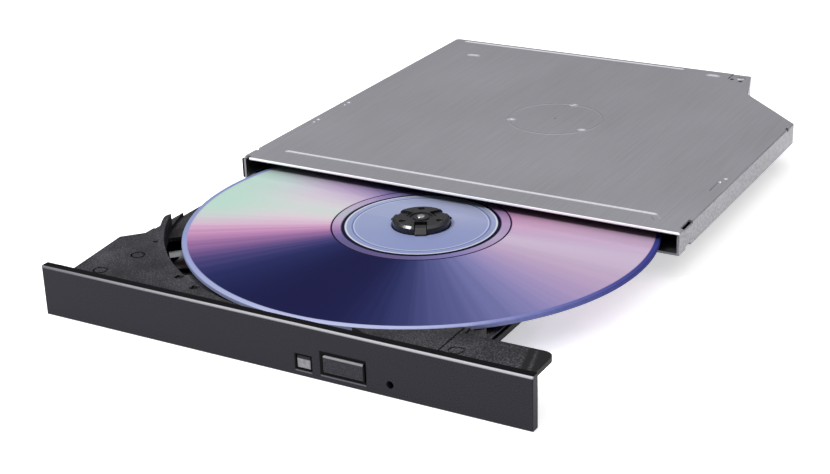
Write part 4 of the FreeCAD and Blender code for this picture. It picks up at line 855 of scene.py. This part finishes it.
# The light ring at 16.8 mm and the darker one at 17.1 mm are painted light and shade round the stacking
# ring; the white ring at 18.8 mm is a painted highlight.
disc_zones = [
    (0.0168, 0.0169, disc_tone(206, 212, 236)), (0.0171, 0.0172, disc_tone(120, 132, 184)),
    (0.0175, 0.0177, clear_middle), (0.0188, 0.0189, disc_tone(226, 230, 244)),
    (0.0192, 0.0194, disc_tone(16, 18, 50)), (0.0201, 0.0204, mirrored_seam),
    (0.0224, 0.0225, disc_tone(34, 26, 62)), (0.0228, 0.0230, data_band),
    (rim_start, rim_end, clear_rim)]
tone = clear_middle
for inner, outer, beyond in disc_zones:
    tone = blended(tree, rising(tree, radius, inner, outer), tone, beyond)
tree.links.new(tone, shader.inputs["Base Color"])
tree.links.new(rising(tree, radius, rim_start, rim_end, 0.2, 0.65), shader.inputs["Roughness"])
grooves = add(tree, "ShaderNodeTexWave", wave_type="RINGS", rings_direction="Z", Scale=900, Vector=centred)
relief(tree, shader, grooves.outputs["Fac"], depth=0.000004, strength=0.25)
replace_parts(piece_of("disc_120", mesh, "spindle", disc_finish, smooth=False), "disc")

# Latch: an acetal lever that turns on the tray's post under its spring and is pulled
# by a small wound magnet. A spring clip of plated steel keeps it on the post.

dress("latch_lever", acetal, width=0.00012)
dress("latch_clip", zinc, width=0.00004)
dress("latch_magnet", copper, width=0.0001)
coil("latch_coil", "tray", spring_wire, start=(0.026, -0.0521, 0.00456), heading=up,
     length=0.00034, radius=0.00138, wire=0.00016, turns=2, stands_for="latch_spring")

# Studio: a plain pale floor, one soft light high at the front left, a white room that
# grows darker towards the ground, and the camera.

floor_size = 4.0
floor_drop = 0.00003
floor_glow = {"Emission Color": (1, 1, 1, 1), "Emission Strength": 0.5}
floor_white, tree, shader = new_finish("studio_floor", metal=0.0, rough=0.22, more=floor_glow)
tone = ramp(tree, grain(tree, 0.6), [(0.3, (0.90, 0.90, 0.90, 1)), (0.7, (0.93, 0.93, 0.93, 1))])
tree.links.new(tone, shader.inputs["Base Color"])
mesh = bmesh.new()
bmesh.ops.create_grid(mesh, x_segments=1, y_segments=1, size=floor_size)
data = bpy.data.meshes.new("studio_floor")
mesh.to_mesh(data)
mesh.free()
floor = bpy.data.objects.new("studio_floor", data)
floor.location = (0, 0, -floor_drop)
data.materials.append(floor_white)
bpy.context.scene.collection.objects.link(floor)
floor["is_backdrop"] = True

room = bpy.data.worlds.new("studio")
room.use_nodes = True
sky = room.node_tree
height = split(sky, add(sky, "ShaderNodeTexCoord").outputs["Generated"])["Z"]
glow = ramp(sky, height, [(0.0, (0.08, 0.08, 0.08, 1)), (0.42, (0.17, 0.17, 0.175, 1)),
                          (0.60, (0.33, 0.33, 0.34, 1)), (0.82, (1, 1, 1, 1))])
sky.links.new(glow, sky.nodes["Background"].inputs["Color"])
sky.nodes["Background"].inputs["Strength"].default_value = 1.52
bpy.context.scene.world = room

light_place = Vector((-0.60, -0.55, 1.09))
light_aim = Vector((0, -0.03, 0))
light = bpy.data.lights.new("key", "AREA")
light.shape = "DISK"
light.size = 0.35
light.energy = 15
lamp = bpy.data.objects.new("key", light)
lamp.location = light_place
lamp.rotation_euler = (light_aim - light_place).to_track_quat("-Z", "Y").to_euler()
bpy.context.scene.collection.objects.link(lamp)

camera = bpy.data.cameras.new("view")
camera.lens = 72.73
camera.sensor_width = 36
camera.clip_start = 0.01
camera.clip_end = 20
viewer = bpy.data.objects.new("view", camera)
viewer.location = (0.19512, -0.35355, 0.17096)
viewer.rotation_euler = (1.171, 0.0296, 0.5124)
bpy.context.scene.collection.objects.link(viewer)
bpy.context.scene.camera = viewer
bpy.context.scene.view_settings.view_transform = "Standard"

bpy.context.view_layer.update()
low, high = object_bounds()
